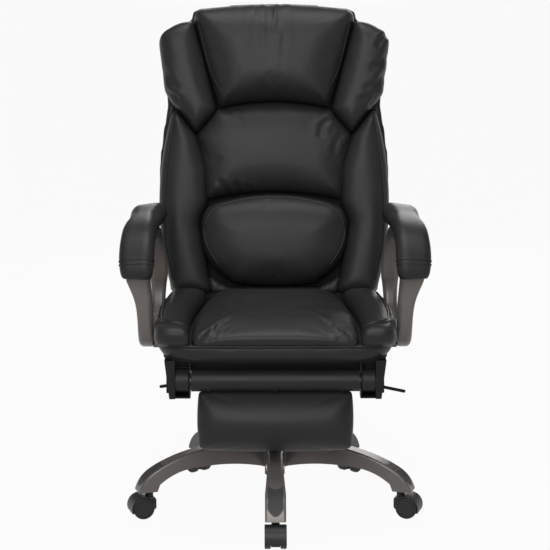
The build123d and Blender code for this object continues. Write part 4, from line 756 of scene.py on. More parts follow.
@dataclass(frozen=True)
class Crease:
    """One soft wrinkle: a groove between two low ridges, along a curve.

    With x the distance from the curve in widths, the height is minus the depth times one less 1.4 x
    squared, times a bell of x, faded over a fifth of the curve at each end.

    Attributes:
        route: across and up of a few points along the wrinkle.
        depth: depth of the groove.
        width: distance from the groove to its ridges.
    """

    route: tuple[tuple[float, float], ...]
    depth: float
    width: float

    def height(self, local: Array) -> Array:
        """Height of the wrinkle at points of the work plane.

        Args:
            local: across, up and out of each point.

        Returns:
            Height to add at each point.
        """
        line = smooth_path(self.route, self.width / 2)
        distances = np.linalg.norm(local[:, None, :2] - line[None], axis=2)
        x = distances.min(axis=1) / self.width
        share = distances.argmin(axis=1) / (len(line) - 1)
        fade = np.clip(np.minimum(share, 1 - share) * 5, 0, 1)
        inside = (share > 0) & (share < 1)
        return np.where(inside, -self.depth * fade * (1 - 1.4 * x ** 2) * np.exp(-x ** 2), 0.0)


def fade_out(distance: Array, reach: float) -> Array:
    """Smooth fall from one at no distance to nothing at the reach."""
    share = np.clip(1 - distance / reach, 0, 1)
    return share * share * (3 - 2 * share)


@dataclass(frozen=True)
class Roll:
    """Lower edge of a cushion rolled out over its seam and turned under towards it.

    A point moves down the work plane by the reach times a smooth rise over its height.

    Attributes:
        edge: up value of the edge.
        height: height over the work plane from which the roll is full.
        reach: how far the roll stands out.
        length: distance from the edge at which the roll has faded.
    """

    edge: float
    height: float
    reach: float
    length: float

    def shift(self, local: Array) -> Array:
        """Movement of points of the work plane.

        Args:
            local: across, up and out of each point.

        Returns:
            Movement of each point, as across, up and out.
        """
        lift = np.sin(pi / 2 * np.clip(local[:, 2] / self.height, 0, 1))
        down = self.reach * lift * fade_out(np.abs(local[:, 1] - self.edge), self.length)
        return np.outer(down, [0.0, -1.0, 0.0])


@dataclass(frozen=True)
class Tuck:
    """Band that is drawn in below the work plane, in step with the depth.

    Attributes:
        middle: up value of the point that it is drawn towards.
        depth: depth of the band.
        share: share of the width that is lost at the foot.
    """

    middle: float
    depth: float
    share: float

    def shift(self, local: Array) -> Array:
        """Movement of points of the work plane, as across, up and out."""
        drawn = self.share * np.clip(-local[:, 2:] / self.depth, 0, 1)
        return drawn * (np.array([0.0, self.middle, 0.0]) - local) * np.array([1.0, 1.0, 0.0])


@dataclass(frozen=True)
class Barrel:
    """Pad that is rounded like a barrel.

    The height changes by the rise at the crown and by minus the drop at the edges, in step with the
    square of the way between them.

    Attributes:
        middle: up value of the crown.
        half: distance from the crown to the edge.
        rise: share of the height that is gained at the crown.
        drop: share of the height that is lost at the edge.
    """

    middle: float
    half: float
    rise: float
    drop: float

    def shift(self, local: Array) -> Array:
        """Movement of points of the work plane.

        Args:
            local: across, up and out of each point.

        Returns:
            Movement of each point, as across, up and out.
        """
        away = np.clip(np.abs(local[:, 1] - self.middle) / self.half, 0, 1) ** 2
        change = self.rise * (1 - away) - self.drop * away
        return np.outer(change * np.maximum(local[:, 2], 0), [0.0, 0.0, 1.0])


@dataclass(frozen=True)
class Arch:
    """Edge of a cushion that bows upwards between its corners, as one less the square of the way across.

    Attributes:
        edge: up value of the edge.
        half: distance from the middle at which the bow ends.
        rise: height of the bow.
        length: distance from the edge at which the bow has faded.
    """

    edge: float
    half: float
    rise: float
    length: float

    def shift(self, local: Array) -> Array:
        """Movement of points of the work plane.

        Args:
            local: across, up and out of each point.

        Returns:
            Movement of each point, as across, up and out.
        """
        bow = np.clip(1 - (local[:, 0] / self.half) ** 2, 0, 1)
        up = self.rise * bow * fade_out(np.abs(local[:, 1] - self.edge), self.length)
        return np.outer(up, [0.0, 1.0, 0.0])


@dataclass(frozen=True)
class Widen:
    """Cushion stretched across by a share, away from a line that stays.

    Attributes:
        line: across value of that line.
        share: share of the distance from the line that is added.
    """

    line: float
    share: float

    def shift(self, local: Array) -> Array:
        """Movement of points of the work plane, as across, up and out."""
        return np.outer(self.share * (local[:, 0] - self.line), [1.0, 0.0, 0.0])


Form = Roll | Tuck | Barrel | Arch | Widen
MERGE_DISTANCE = 1e-5
SOFTEN_SHARE, SOFTEN_ROUNDS = 0.5, 6
FACING_FROM, FACING_SPAN = -0.2, 0.5  # how far a normal leans out where wrinkles start, and over what
SOLVER_FRAMES = 20
LEATHER_CLOTH: dict[str, float | bool | str] = {
    "quality": 4, "mass": 0.3, "tension_stiffness": 12.0, "compression_stiffness": 12.0,
    "shear_stiffness": 6.0, "bending_stiffness": 0.8, "use_pressure": True, "vertex_group_mass": "sewn",
}


@dataclass
class Cushion:
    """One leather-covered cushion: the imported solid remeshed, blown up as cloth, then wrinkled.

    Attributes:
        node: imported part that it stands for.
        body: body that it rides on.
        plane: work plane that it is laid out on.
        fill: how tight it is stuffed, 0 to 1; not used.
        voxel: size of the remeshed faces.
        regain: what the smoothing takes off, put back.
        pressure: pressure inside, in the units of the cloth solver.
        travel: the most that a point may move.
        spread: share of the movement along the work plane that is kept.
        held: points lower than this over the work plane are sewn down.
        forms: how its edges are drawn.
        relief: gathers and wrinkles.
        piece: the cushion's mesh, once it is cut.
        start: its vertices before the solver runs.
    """

    node: str
    body: Body
    plane: WorkPlane
    fill: float = 0.7
    voxel: float = 0.006
    regain: float = 0.0012
    pressure: float = 4.0
    travel: float = 0.016
    spread: float = 0.30
    held: float = 0.006
    forms: tuple[Form, ...] = ()
    relief: tuple[Gathers | Crease, ...] = ()
    piece: bpy.types.Object = field(init=False, default=None)
    start: Array = field(init=False, default=None)

    def cut(self) -> None:
        """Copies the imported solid, merges it, remeshes it evenly and smooths it."""
        mesh = frame["nodes"][self.node].data.copy()
        work = bmesh.new()
        work.from_mesh(mesh)
        bmesh.ops.remove_doubles(work, verts=work.verts, dist=MERGE_DISTANCE)
        work.to_mesh(mesh)
        work.free()
        self.piece = add_object(f"{self.node}_leather", mesh)
        remesh = self.piece.modifiers.new("even", "REMESH")
        remesh.mode = "VOXEL"
        remesh.voxel_size = self.voxel
        soften = self.piece.modifiers.new("soften", "SMOOTH")
        soften.factor = SOFTEN_SHARE
        soften.iterations = SOFTEN_ROUNDS
        self._apply()
        self.start = self.points() + self.normals() * self.regain
        self.place(self.start)

    def _apply(self) -> None:
        """Makes the modified mesh the piece's own."""
        graph = bpy.context.evaluated_depsgraph_get()
        made = bpy.data.meshes.new_from_object(self.piece.evaluated_get(graph))
        old = self.piece.data
        self.piece.modifiers.clear()
        self.piece.data = made
        bpy.data.meshes.remove(old)
        made.name = self.piece.name

    def points(self) -> Array:
        """Reads the vertices.

        Returns:
            One row for each vertex.
        """
        flat = np.empty(3 * len(self.piece.data.vertices))
        self.piece.data.vertices.foreach_get("co", flat)
        return flat.reshape(-1, 3)

    def normals(self) -> Array:
        """Reads the vertex normals.

        Returns:
            One row for each vertex.
        """
        flat = np.empty(3 * len(self.piece.data.vertices))
        self.piece.data.vertex_normals.foreach_get("vector", flat)
        return flat.reshape(-1, 3)

    def place(self, points: Array) -> None:
        """Puts the vertices at new points."""
        self.piece.data.vertices.foreach_set("co", points.ravel())
        self.piece.data.update()

    def stuff(self) -> None:
        """Adds the cloth that the solver blows up, sewn down where it meets its board."""
        out = self.plane.to_local(self.start)[:, 2]
        sewn = self.piece.vertex_groups.new(name="sewn")
        sewn.add(np.flatnonzero(out < self.held).tolist(), 1.0, "REPLACE")
        cloth = self.piece.modifiers.new("leather", "CLOTH")
        for name, value in LEATHER_CLOTH.items():
            setattr(cloth.settings, name, value)
        cloth.settings.uniform_pressure_force = self.pressure
        cloth.settings.effector_weights.gravity = 0.0
        cloth.collision_settings.use_collision = False
        cloth.point_cache.frame_start = 1
        cloth.point_cache.frame_end = SOLVER_FRAMES

    def settle(self) -> None:
        """Keeps the solver's shape, eased so that no point goes further than the travel."""
        graph = bpy.context.evaluated_depsgraph_get()
        shaped = self.piece.evaluated_get(graph).data
        flat = np.empty(3 * len(shaped.vertices))
        shaped.vertices.foreach_get("co", flat)
        move = flat.reshape(-1, 3) - self.start
        move = (move @ self.plane.axes.T * np.array([self.spread, self.spread, 1.0])) @ self.plane.axes
        far = np.linalg.norm(move, axis=1, keepdims=True)
        log.info("%s: swells by %.1f mm at most", self.piece.name, 1000 * far.max())
        self.piece.modifiers.clear()
        self.piece.vertex_groups.clear()
        eased = self.travel * (1 - np.exp(-far / self.travel))
        self.place(self.start + move * (eased / np.maximum(far, 1e-9)))

    def draw(self) -> None:
        """Draws the edges into their forms."""
        for form in self.forms:
            local = self.plane.to_local(self.points())
            self.place(self.plane.to_world(local + form.shift(local)))

    def wrinkle(self) -> None:
        """Adds gathers and wrinkles on the side that faces out, fading where it turns away."""
        if self.relief:
            points, normals = self.points(), self.normals()
            local = self.plane.to_local(points)
            facing = np.clip((normals @ self.plane.axes[2] - FACING_FROM) / FACING_SPAN, 0, 1)
            height = sum(each.height(local) for each in self.relief)
            self.place(points + normals * (height * facing)[:, None])

    def finish(self, wardrobe: Wardrobe) -> None:
        """Smooths the cover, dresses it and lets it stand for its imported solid.

        Args:
            wardrobe: finished materials.
        """
        self.piece.data.polygons.foreach_set("use_smooth", np.ones(len(self.piece.data.polygons), bool))
        smooth = self.piece.modifiers.new("smooth", "SUBSURF")
        smooth.levels = 1
        smooth.render_levels = 1
        wardrobe.dress(self.piece, Slot.LEATHER)
        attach(self.piece, self.body.value)
        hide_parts(self.node)
        log.info("%s: %d faces", self.piece.name, len(self.piece.data.polygons))


class Upholstery:
    """All the cushions: cut, blown up together, wrinkled and dressed."""

    def __init__(self, cushions: Sequence[Cushion], wardrobe: Wardrobe) -> None:
        """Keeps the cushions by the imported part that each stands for.

        Args:
            cushions: cushions to make.
            wardrobe: finished materials.
        """
        self.cushions = {each.node: each for each in cushions}
        self.wardrobe = wardrobe

    def make(self) -> None:
        """Cuts every cushion, runs the cloth for all of them at once, and finishes them."""
        for each in self.cushions.values():
            each.cut()
        for each in self.cushions.values():
            each.stuff()
        scene = bpy.context.scene
        for number in range(1, SOLVER_FRAMES + 1):
            scene.frame_set(number)
        for each in self.cushions.values():
            each.settle()
        scene.frame_set(1)
        for each in self.cushions.values():
            each.draw()
            each.wrinkle()
            each.finish(self.wardrobe)

    def surface(self, node: str) -> Surface:
        """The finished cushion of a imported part, to lay seams on."""
        return Surface(self.cushions[node].piece)


@dataclass
class SeamRow:
    """A seam on one cushion, given as a route on its work plane.

    Attributes:
        name: name of the cord; its stitches add a word.
        node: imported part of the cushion.
        route: across and up of a few points.
        seam: how it is sewn.
        both_sides: also sewn, mirrored, on the cushion of the other side.
    """

    name: str
    node: str
    route: tuple[tuple[float, float], ...]
    seam: Seam = Seam()
    both_sides: bool = False

    def sew(self, upholstery: Upholstery, wardrobe: Wardrobe) -> None:
        """Lays the cord and the stitches on the cushion.

        Args:
            upholstery: finished cushions.
            wardrobe: finished materials.
        """
        for side in ((1, -1) if self.both_sides else (1,)):
            node = self.node if side > 0 else self.node.replace("left", "right")
            name = self.name if side > 0 else self.name.replace("left", "right")
            cushion = upholstery.cushions[node]
            route = smooth_path(self.route, self.seam.spacing) * np.array([side, 1.0])
            points, normals = upholstery.surface(node).lay(cushion.plane, route)
            add_piece(self.seam.cord(name, points, normals), cushion.body, wardrobe)
            if self.seam.stitch_offset:
                add_piece(self.seam.stitches(f"{name}_stitches", points, normals), cushion.body, wardrobe)


def add_piece(piece: bpy.types.Object, body: Body, wardrobe: Wardrobe, slot: Slot = Slot.LEATHER) -> None:
    """Dresses a small piece and lets it ride.

    Args:
        piece: mesh object.
        body: body that it rides on.
        wardrobe: finished materials.
        slot: record slot of its finish.
    """
    wardrobe.dress(piece, slot)
    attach(piece, body.value)
    log.info("%s: %d faces", piece.name, len(piece.data.polygons))


# Sub-assemblies

@dataclass
class Backrest:
    """Cushions of the back and their seams, in metres across and up from the foot of its board.

    Attributes:
        head_top: height of the head cushion's upper edge.
        head_half: half its width there.
        head_foot_up: height of its lower edge.
        head_foot_half: half its width there.
        valley_half: half the width of the arch between head and middle cushion.
        valley_rise: height of that arch.
        valley_length: how far it reaches into either cushion.
        head_settle: how far the middle of the upper edge rises.
        head_settle_length: how far that reaches down.
        bolster_outer: outer edge of a side bolster, which stays.
        bolster_stretch: share by which a bolster is widened inwards.
        middle_stretch: share by which the middle and lumbar cushions are widened.
        valance_half: half the width of the valance.
        valance: depth and height of a few points down it, in the model's frame.
        valance_t: thickness of its leather.
        valance_step: distance between its points.
        valance_columns: points across it.
        piping: seam round the lumbar cushion.
        topstitch: seam along a side bolster.
        edge_seam: seam along the head cushion's sides.
    """

    head_top: float = 0.706
    head_half: float = 0.198
    head_foot_up: float = 0.468
    head_foot_half: float = 0.131
    valley_half: float = 0.150
    valley_rise: float = 0.010
    valley_length: float = 0.080
    head_settle: float = -0.008  # below zero, so it sinks
    head_settle_length: float = 0.070
    bolster_outer: float = 0.273
    bolster_stretch: float = 0.070
    middle_stretch: float = 0.030
    valance_half: float = 0.236
    valance: tuple[tuple[float, float], ...] = ((0.2080, 0.4640), (0.2060, 0.4520), (0.2064, 0.4280))
    valance_t: float = 0.0016
    valance_step: float = 0.003
    valance_columns: int = 60
    piping: Seam = Seam(radius=0.0020, sink=0.46)
    topstitch: Seam = Seam(radius=0.0018, sink=0.30, stitch_offset=0.0048)
    edge_seam: Seam = Seam(radius=0.0013, sink=0.55, stitch_offset=0.0044)

    def cushions(self) -> list[Cushion]:
        """Every cushion of the back.

        Returns:
            The cushions, with their gathers and wrinkles.
        """
        body, plane = Body.BACK, BACK_PLANE
        valley = (Arch(self.head_foot_up, self.valley_half, self.valley_rise, self.valley_length),)
        top = Arch(self.head_top, self.head_half, self.head_settle, self.head_settle_length)
        stretch = Widen(0.0, self.middle_stretch)
        head = (Gathers((-0.088, self.head_top), (0.058, self.head_top), 5, 0.0034, 0.125, 3),)
        wing_right = (
            Crease(((-0.262, 0.508), (-0.238, 0.494), (-0.222, 0.478)), 0.0060, 0.011),
            Crease(((-0.266, 0.566), (-0.244, 0.528), (-0.222, 0.505)), 0.0034, 0.012),
        )
        wing_left = (
            Crease(((0.280, 0.648), (0.258, 0.632), (0.240, 0.606)), 0.0054, 0.010),
            Crease(((0.274, 0.600), (0.248, 0.570), (0.220, 0.556)), 0.0036, 0.012),
            Crease(((0.270, 0.556), (0.242, 0.524), (0.208, 0.510)), 0.0048, 0.012),
            Crease(((0.262, 0.530), (0.230, 0.496), (0.194, 0.482)), 0.0042, 0.012),
            Crease(((0.252, 0.504), (0.222, 0.466)), 0.0046, 0.010),
        )
        middle = (
            Crease(((-0.134, 0.300), (-0.106, 0.258)), 0.0050, 0.010),
            Crease(((-0.094, 0.294), (-0.074, 0.256)), 0.0044, 0.010),
            Crease(((-0.064, 0.288), (-0.050, 0.260)), 0.0034, 0.010),
            Crease(((0.134, 0.444), (0.114, 0.424), (0.108, 0.392)), 0.0040, 0.011),
            Crease(((0.166, 0.410), (0.146, 0.384), (0.140, 0.350)), 0.0040, 0.011),
        )
        lower = (Gathers((-0.140, 0.050), (-0.040, 0.046), 6, 0.0022, 0.024, 5),
                 Gathers((0.040, 0.046), (0.140, 0.050), 6, 0.0022, 0.024, 6))
        return [
            Cushion("back_cover", body, plane, 0.4, voxel=0.008, pressure=1.0, travel=0.003, spread=1.0,
                    held=-1.0),
            Cushion("head_cushion", body, plane, 0.85, forms=(*valley, top), relief=head),
            Cushion("wing_cushion_left", body, plane, 0.75, voxel=0.005, relief=wing_left),
            Cushion("wing_cushion_right", body, plane, 0.75, voxel=0.005, relief=wing_right),
            Cushion("back_cushion", body, plane, 0.8, spread=0.6, forms=(*valley, stretch), relief=middle),
            Cushion("side_bolster_left", body, plane, 0.75, spread=0.7,
                    forms=(Widen(self.bolster_outer, self.bolster_stretch),)),
            Cushion("side_bolster_right", body, plane, 0.75, spread=0.7,
                    forms=(Widen(-self.bolster_outer, self.bolster_stretch),)),
            Cushion("lumbar_cushion", body, plane, 0.9, spread=0.9, forms=(stretch,)),
            Cushion("lower_back_panel", body, plane, 0.5, voxel=0.005, travel=0.005, relief=lower),
        ]

    def seams(self) -> list[SeamRow]:
        """Piped and top-stitched seams of the back.

        Returns:
            The seams.
        """
        lumbar = ((-0.128, 0.091), (-0.158, 0.141), (-0.164, 0.187), (-0.140, 0.229), (-0.070, 0.251),
                  (0.0, 0.256), (0.070, 0.251), (0.140, 0.229), (0.164, 0.187), (0.158, 0.141),
                  (0.128, 0.091))
        bolster = ((0.240, 0.060), (0.258, 0.150), (0.260, 0.260), (0.249, 0.370), (0.236, 0.452))
        head = ((self.head_foot_half - 0.010, self.head_foot_up + 0.028), (0.152, 0.560),
                (self.head_half - 0.020, self.head_top - 0.042))
        return [
            SeamRow("lumbar_piping", "lumbar_cushion", lumbar, self.piping),
            SeamRow("side_bolster_left_seam", "side_bolster_left", bolster, self.topstitch, both_sides=True),
            SeamRow("head_left_seam", "head_cushion", head, self.edge_seam),
            SeamRow("head_right_seam", "head_cushion", tuple((-x, y) for x, y in head), self.edge_seam),
        ]

    def hang(self, wardrobe: Wardrobe) -> None:
        """Leather valance that closes the gap between the foot of the back and the seat.

        It is a curve of depth and height, carried across.

        Args:
            wardrobe: finished materials.
        """
        fall = smooth_path(self.valance, self.valance_step)
        across = np.linspace(-self.valance_half, self.valance_half, self.valance_columns)
        points = np.stack(np.broadcast_arrays(across[:, None], fall[None, :, 0], fall[None, :, 1]), axis=-1)
        made = plate_mesh("back_valance", points, self.valance_t)
        add_piece(made, Body.BACK, wardrobe)


@dataclass
class Seat:
    """Cushions of the seat and their seams, in metres across and back from the gas lift.

    Attributes:
        seam_height: height of the cord between border and cushions.
        front: front edge of the cushions.
        nose_height: height over the work plane from which the front is rolled in full.
        nose_reach: how far the roll stands out.
        nose_length: how far back it reaches.
        band_height: height of the border.
        band_tuck: share of its width that the border loses at its foot.
        piping: cord between border and cushions.
        topstitch: seams on the bolsters.
        seam_pitch: distance between the two seams of a bolster.
        centre_y: depth of the point that the rays for the cord go to.
        probe_drop: how far below the cord those rays run.
        probe_reach: how far out they start.
        probe_rays: number of those rays.
    """

    seam_height: float = 0.4385
    front: float = -0.286
    nose_height: float = 0.044
    nose_reach: float = 0.024
    nose_length: float = 0.110
    band_height: float = 0.036
    band_tuck: float = 0.045
    piping: Seam = Seam(radius=0.0030, sink=0.20)
    topstitch: Seam = Seam(radius=0.0022, sink=0.25, stitch_offset=0.0052)
    seam_pitch: float = 0.007
    centre_y: float = -0.04
    probe_drop: float = 0.006
    probe_reach: float = 0.8
    probe_rays: int = 420

    def cushions(self) -> list[Cushion]:
        """Every cushion of the seat.

        Returns:
            The cushions, with the gathers at the front corners.
        """
        body, plane = Body.SEAT, SEAT_PLANE
        middle = (
            Gathers((0.100, -0.282), (0.180, -0.262), 5, 0.0017, 0.032, 11),
            Gathers((-0.100, -0.282), (-0.180, -0.262), 5, 0.0017, 0.032, 12),
        )
        nose = (Roll(self.front, self.nose_height, self.nose_reach, self.nose_length),)
        band = (Tuck(0.0, self.band_height, self.band_tuck),)
        return [
            Cushion("seat_border", body, plane, 0.5, pressure=1.0, travel=0.003, spread=1.0, held=-0.030,
                    forms=band),
            Cushion("seat_cushion", body, plane, 0.85, voxel=0.005, spread=0.8, forms=nose, relief=middle),
            Cushion("seat_bolster_left", body, plane, 0.75, spread=0.6, forms=nose),
            Cushion("seat_bolster_right", body, plane, 0.75, spread=0.6, forms=nose),
        ]

    def seams(self) -> list[SeamRow]:
        """Top-stitched seams round the upper panel of each bolster, one beside the other.

        Returns:
            The seams.
        """
        outer = ((0.196, -0.262), (0.226, -0.256), (0.246, -0.226), (0.256, -0.150), (0.256, -0.020),
                 (0.246, 0.120))
        inner = tuple((x - self.seam_pitch, y + self.seam_pitch) for x, y in outer)
        return [
            SeamRow("seat_bolster_left_seam", "seat_bolster_left", outer, self.topstitch, both_sides=True),
            SeamRow("seat_bolster_left_inner_seam", "seat_bolster_left", inner, self.topstitch,
                    both_sides=True),
        ]

    def pipe(self, upholstery: Upholstery, wardrobe: Wardrobe) -> None:
        """Cord between the border and the cushions, found by rays from round the border.

        Args:
            upholstery: finished cushions.
            wardrobe: finished materials.
        """
        centre = (0.0, self.centre_y, self.seam_height - self.probe_drop)
        border = upholstery.surface("seat_border")
        points, normals = border.ring(centre, Y_AXIS, self.probe_rays, self.probe_reach)
        points[:, 2] = self.seam_height
        add_piece(self.piping.cord("seat_piping", points, normals, closed=True), Body.SEAT, wardrobe)


@dataclass
class Arms:
    """Padded arm tops and the seams round their turned-down ends.

    Attributes:
        half_x: distance of an arm from the middle.
        seam: how the seams are sewn.
        rings: depth, height and heading in degrees of each seam.
        probe_reach: how far out the rays for a seam start.
        probe_rays: number of those rays.
    """

    half_x: float = 0.302
    seam: Seam = Seam(radius=0.0016, sink=0.42)
    rings: tuple[tuple[float, float, float], ...] = ((-0.170, 0.603, 66.0), (-0.172, 0.595, 70.0))
    probe_reach: float = 0.12
    probe_rays: int = 72

    def cushions(self) -> list[Cushion]:
        """Both arm pads."""
        return [Cushion(f"arm_pad_{side}", Body.SEAT, ARM_PLANE, 0.7, voxel=0.004, travel=0.004, spread=1.0,
                        held=-1.0, pressure=2.0) for side in ("left", "right")]

    def sew(self, upholstery: Upholstery, wardrobe: Wardrobe) -> None:
        """Seams round the turned-down end of each pad, found by rays from round it.

        Args:
            upholstery: finished cushions.
            wardrobe: finished materials.
        """
        for side, sign in (("left", 1), ("right", -1)):
            surface = upholstery.surface(f"arm_pad_{side}")
            for number, (y, z, heading) in enumerate(self.rings, start=1):
                square = np.array([0.0, sin(radians(heading)), -cos(radians(heading))])
                centre = (sign * self.half_x, y, z)
                points, normals = surface.ring(centre, square, self.probe_rays, self.probe_reach)
                cord = self.seam.cord(f"arm_pad_{side}_seam_{number}", points, normals, closed=True)
                add_piece(cord, Body.SEAT, wardrobe)


@dataclass
class Footrest:
    """Foot pad, the screws that hold it to its roller, and the backs of the hangers.

    Attributes:
        crown_z: height of the pad's crown.
        half_height: half the pad's height.
        crown_rise: share of the pad's thickness that is gained at the crown.
        edge_drop: share that is lost at the upper and lower edge.
        roller: depth and height of the roller's axis.
        roller_r: radius of the roller.
        drum_r: radius of the drums at its ends.
        hanger_rear: depth of the flat back of a hanger.
        hanger_x: inner and outer side of a hanger.
        hanger_z: foot and top of a hanger.
        hanger_t: thickness of its sheet.
        hanger_grid: points across and up a hanger.
        screw_xs: places of the screws along the roller.
        screw_turn: their angle round the roller, from straight ahead.
        screw_r: radius of a screw head.
        screw_height: height of a screw head.
        screw_sides: corners of a screw head.
    """

    crown_z: float = 0.258
    half_height: float = 0.066
    crown_rise: float = 0.12
    edge_drop: float = 0.48
    roller: tuple[float, float] = (-0.232, 0.353)
    roller_r: float = 0.0245
    drum_r: float = 0.0262
    hanger_rear: float = -0.2096
    hanger_x: tuple[float, float] = (0.1860, 0.2385)
    hanger_z: tuple[float, float] = (0.3185, 0.3780)
    hanger_t: float = 0.0014
    hanger_grid: tuple[int, int] = (8, 28)
    screw_xs: tuple[float, ...] = (-0.145, 0.0, 0.145)
    screw_turn: float = radians(-52.0)
    screw_r: float = 0.0042
    screw_height: float = 0.0022
    screw_sides: int = 24

    def cushions(self) -> list[Cushion]:
        """The foot pad's cushion."""
        barrel = (Barrel(self.crown_z, self.half_height, self.crown_rise, self.edge_drop),)
        return [Cushion("foot_pad_cushion", Body.FOOT_PAD, FOOT_PLANE, 0.8, voxel=0.005, forms=barrel)]

    def hangers(self, wardrobe: Wardrobe) -> None:
        """Pressed backs of the two hangers: flat behind the bracket, bowed round the drum.

        The depth at a height is the flat or the drum's circle there, whichever lies further back.

        Args:
            wardrobe: finished materials.
        """
        columns, rows = self.hanger_grid
        height = np.linspace(*self.hanger_z, rows)
        axis_y, axis_z = self.roller
        bow = axis_y + np.sqrt(np.clip(self.drum_r ** 2 - (height - axis_z) ** 2, 0, None))
        depth = np.maximum(self.hanger_rear, bow)
        across = np.linspace(*self.hanger_x, columns)
        for side, sign in (("left", 1), ("right", -1)):
            points = np.stack(np.broadcast_arrays(sign * across[:, None], depth, height), axis=-1)
            add_piece(plate_mesh(f"hanger_back_{side}", points, self.hanger_t), Body.CARRIAGE, wardrobe,
                      Slot.STEEL)

    def screws(self, wardrobe: Wardrobe) -> None:
        """Domed screw heads with a round recess, on the lower front of the roller.

        The profile is a radius and a height, turned about the roller's normal.

        Args:
            wardrobe: finished materials.
        """
        out = np.array([0.0, -cos(self.screw_turn), sin(self.screw_turn)])
        radius = self.screw_r * np.array([0.34, 0.38, 0.42, 0.70, 0.92, 1.0, 1.0])
        height = self.screw_height * np.array([0.35, 0.40, 0.98, 0.86, 0.56, 0.20, -0.30])
        ring = circle(self.screw_sides, X_AXIS, np.cross(out, X_AXIS))
        dome = radius[:, None, None] * ring + height[:, None, None] * out
        for number, x in enumerate(self.screw_xs, start=1):
            seat = np.array([x, *self.roller]) + self.roller_r * out
            made = new_mesh(f"roller_screw_{number}", seat + dome, tube_faces(len(radius), self.screw_sides))
            add_piece(point_outwards(made), Body.FOOT_PAD, wardrobe, Slot.STEEL)


@dataclass(frozen=True)
class SoftBox:
    """One rectangular lamp.

    Attributes:
        name: name of the lamp.
        place: where it stands.
        target: point that it faces.
        size: width and height.
        power: watts.
    """

    name: str
    place: Point
    target: Point
    size: tuple[float, float]
    power: float

    def build(self) -> None:
        """Makes the lamp and turns it to its target."""
        data = bpy.data.lights.new(self.name, "AREA")
        data.shape = "RECTANGLE"
        data.size, data.size_y = self.size
        data.energy = self.power
        aim(add_object(self.name, data), self.place, self.target)


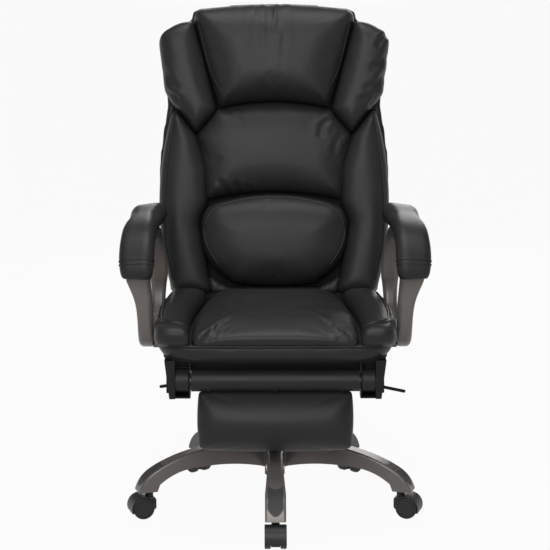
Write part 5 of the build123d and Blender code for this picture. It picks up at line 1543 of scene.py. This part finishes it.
@dataclass
class Studio:
    """Floor, lamps and camera.

    Attributes:
        eye: place of the camera.
        target: point that it looks at.
        focal_px: focal length in pixels of the picture.
        picture_px: width of the square picture.
        sensor: width of the sensor in millimetres.
        wall_radius: distance of the wall round the floor.
        wall_height: height of that wall.
        wall_sides: corners of the floor.
        paint: grey of floor and wall where they light the chair.
        paint_roughness: roughness of that paint.
        whiteness: share of plain white where they are seen.
        ambient: strength of the even light from all round.
        lamps: the soft boxes.
    """

    eye: Point = (-0.0232, -4.1528, 1.3355)
    target: Point = (0.0005, 0.0, 0.5413)
    focal_px: float = 1856.0
    picture_px: float = 550.0
    sensor: float = 36.0
    wall_radius: float = 30.0
    wall_height: float = 4.5
    wall_sides: int = 64
    paint: float = 0.40
    paint_roughness: float = 0.9
    whiteness: float = 0.95
    ambient: float = 0.10
    lamps: tuple[SoftBox, ...] = (
        SoftBox("front_box", (-0.3, -2.9, 2.0), (0.0, 0.0, 0.75), (2.2, 2.4), 100.0),
        SoftBox("top_box", (0.0, -0.2, 3.0), (0.0, -0.2, 0.0), (1.8, 1.8), 60.0),
        SoftBox("back_box", (0.4, 3.4, 1.7), (0.0, 0.0, 0.65), (2.2, 2.0), 50.0),
    )

    def camera(self) -> None:
        """Camera at the photograph's place."""
        data = bpy.data.cameras.new("camera")
        data.sensor_width = self.sensor
        data.lens = self.sensor * self.focal_px / self.picture_px
        made = add_object("camera", data)
        aim(made, self.eye, self.target)
        bpy.context.scene.camera = made

    def stage_paint(self) -> bpy.types.Material:
        """Grey paint that camera, glossy and transmission rays see as white, with the chair's shadow kept.

        Returns:
            The material.
        """
        made = bpy.data.materials.new("stage_paint")
        made.use_nodes = True
        tree = made.node_tree
        shader = tree.nodes["Principled BSDF"]
        shader.inputs["Base Color"].default_value = (self.paint, self.paint, self.paint, 1.0)
        shader.inputs["Roughness"].default_value = self.paint_roughness
        white = add_node(tree, "ShaderNodeEmission", {"Strength": 1.0})
        mixed = add_node(tree, "ShaderNodeMixShader")
        path = add_node(tree, "ShaderNodeLightPath")
        mirrored, seen = (add_node(tree, "ShaderNodeMath", operation="MAXIMUM") for _ in range(2))
        share = add_node(tree, "ShaderNodeMath", {1: self.whiteness}, operation="MULTIPLY")
        wire(tree, (path, "Is Camera Ray", mirrored, 0), (path, "Is Glossy Ray", mirrored, 1),
             (mirrored, 0, seen, 0), (path, "Is Transmission Ray", seen, 1), (seen, 0, share, 0),
             (share, 0, mixed, "Fac"), (shader, "BSDF", mixed, 1), (white, "Emission", mixed, 2),
             (mixed, "Shader", tree.nodes["Material Output"], "Surface"))
        return made

    def stage(self) -> None:
        """Wide pale floor with a wall far round it."""
        paint = self.stage_paint()
        ring = self.wall_radius * circle(self.wall_sides, X_AXIS, Y_AXIS)
        wall = np.vstack([ring, ring + self.wall_height * Z_AXIS])
        for name, points, faces in (("floor", ring, [list(range(self.wall_sides))]),
                                    ("wall", wall, grid_faces(2, self.wall_sides, wrap_columns=True))):
            made = new_mesh(name, points, faces)
            made.data.materials.append(paint)

    def world(self) -> None:
        """Even light from all round."""
        made = bpy.data.worlds.new("studio")
        made.use_nodes = True
        background = made.node_tree.nodes["Background"]
        background.inputs["Color"].default_value = (1.0, 1.0, 1.0, 1.0)
        background.inputs["Strength"].default_value = self.ambient
        bpy.context.scene.world = made

    def build(self) -> None:
        """Floor, surroundings, lamps and camera."""
        self.stage()
        self.world()
        for lamp in self.lamps:
            lamp.build()
        self.camera()
        bpy.context.scene.view_settings.view_transform = "Standard"


def main() -> None:
    """Builds the chair's looks, piece by piece, then the studio."""
    logging.basicConfig(level=logging.INFO, format="%(name)s: %(message)s")
    wardrobe = Wardrobe()
    wardrobe.dress_parts()
    back, seat, arms, foot = Backrest(), Seat(), Arms(), Footrest()
    upholstery = Upholstery([cushion for group in (back, seat, arms, foot) for cushion in group.cushions()],
                            wardrobe)
    upholstery.make()
    for row in back.seams() + seat.seams():
        row.sew(upholstery, wardrobe)
    back.hang(wardrobe)
    seat.pipe(upholstery, wardrobe)
    arms.sew(upholstery, wardrobe)
    foot.hangers(wardrobe)
    foot.screws(wardrobe)
    Studio().build()


if __name__ == "__main__":
    main()
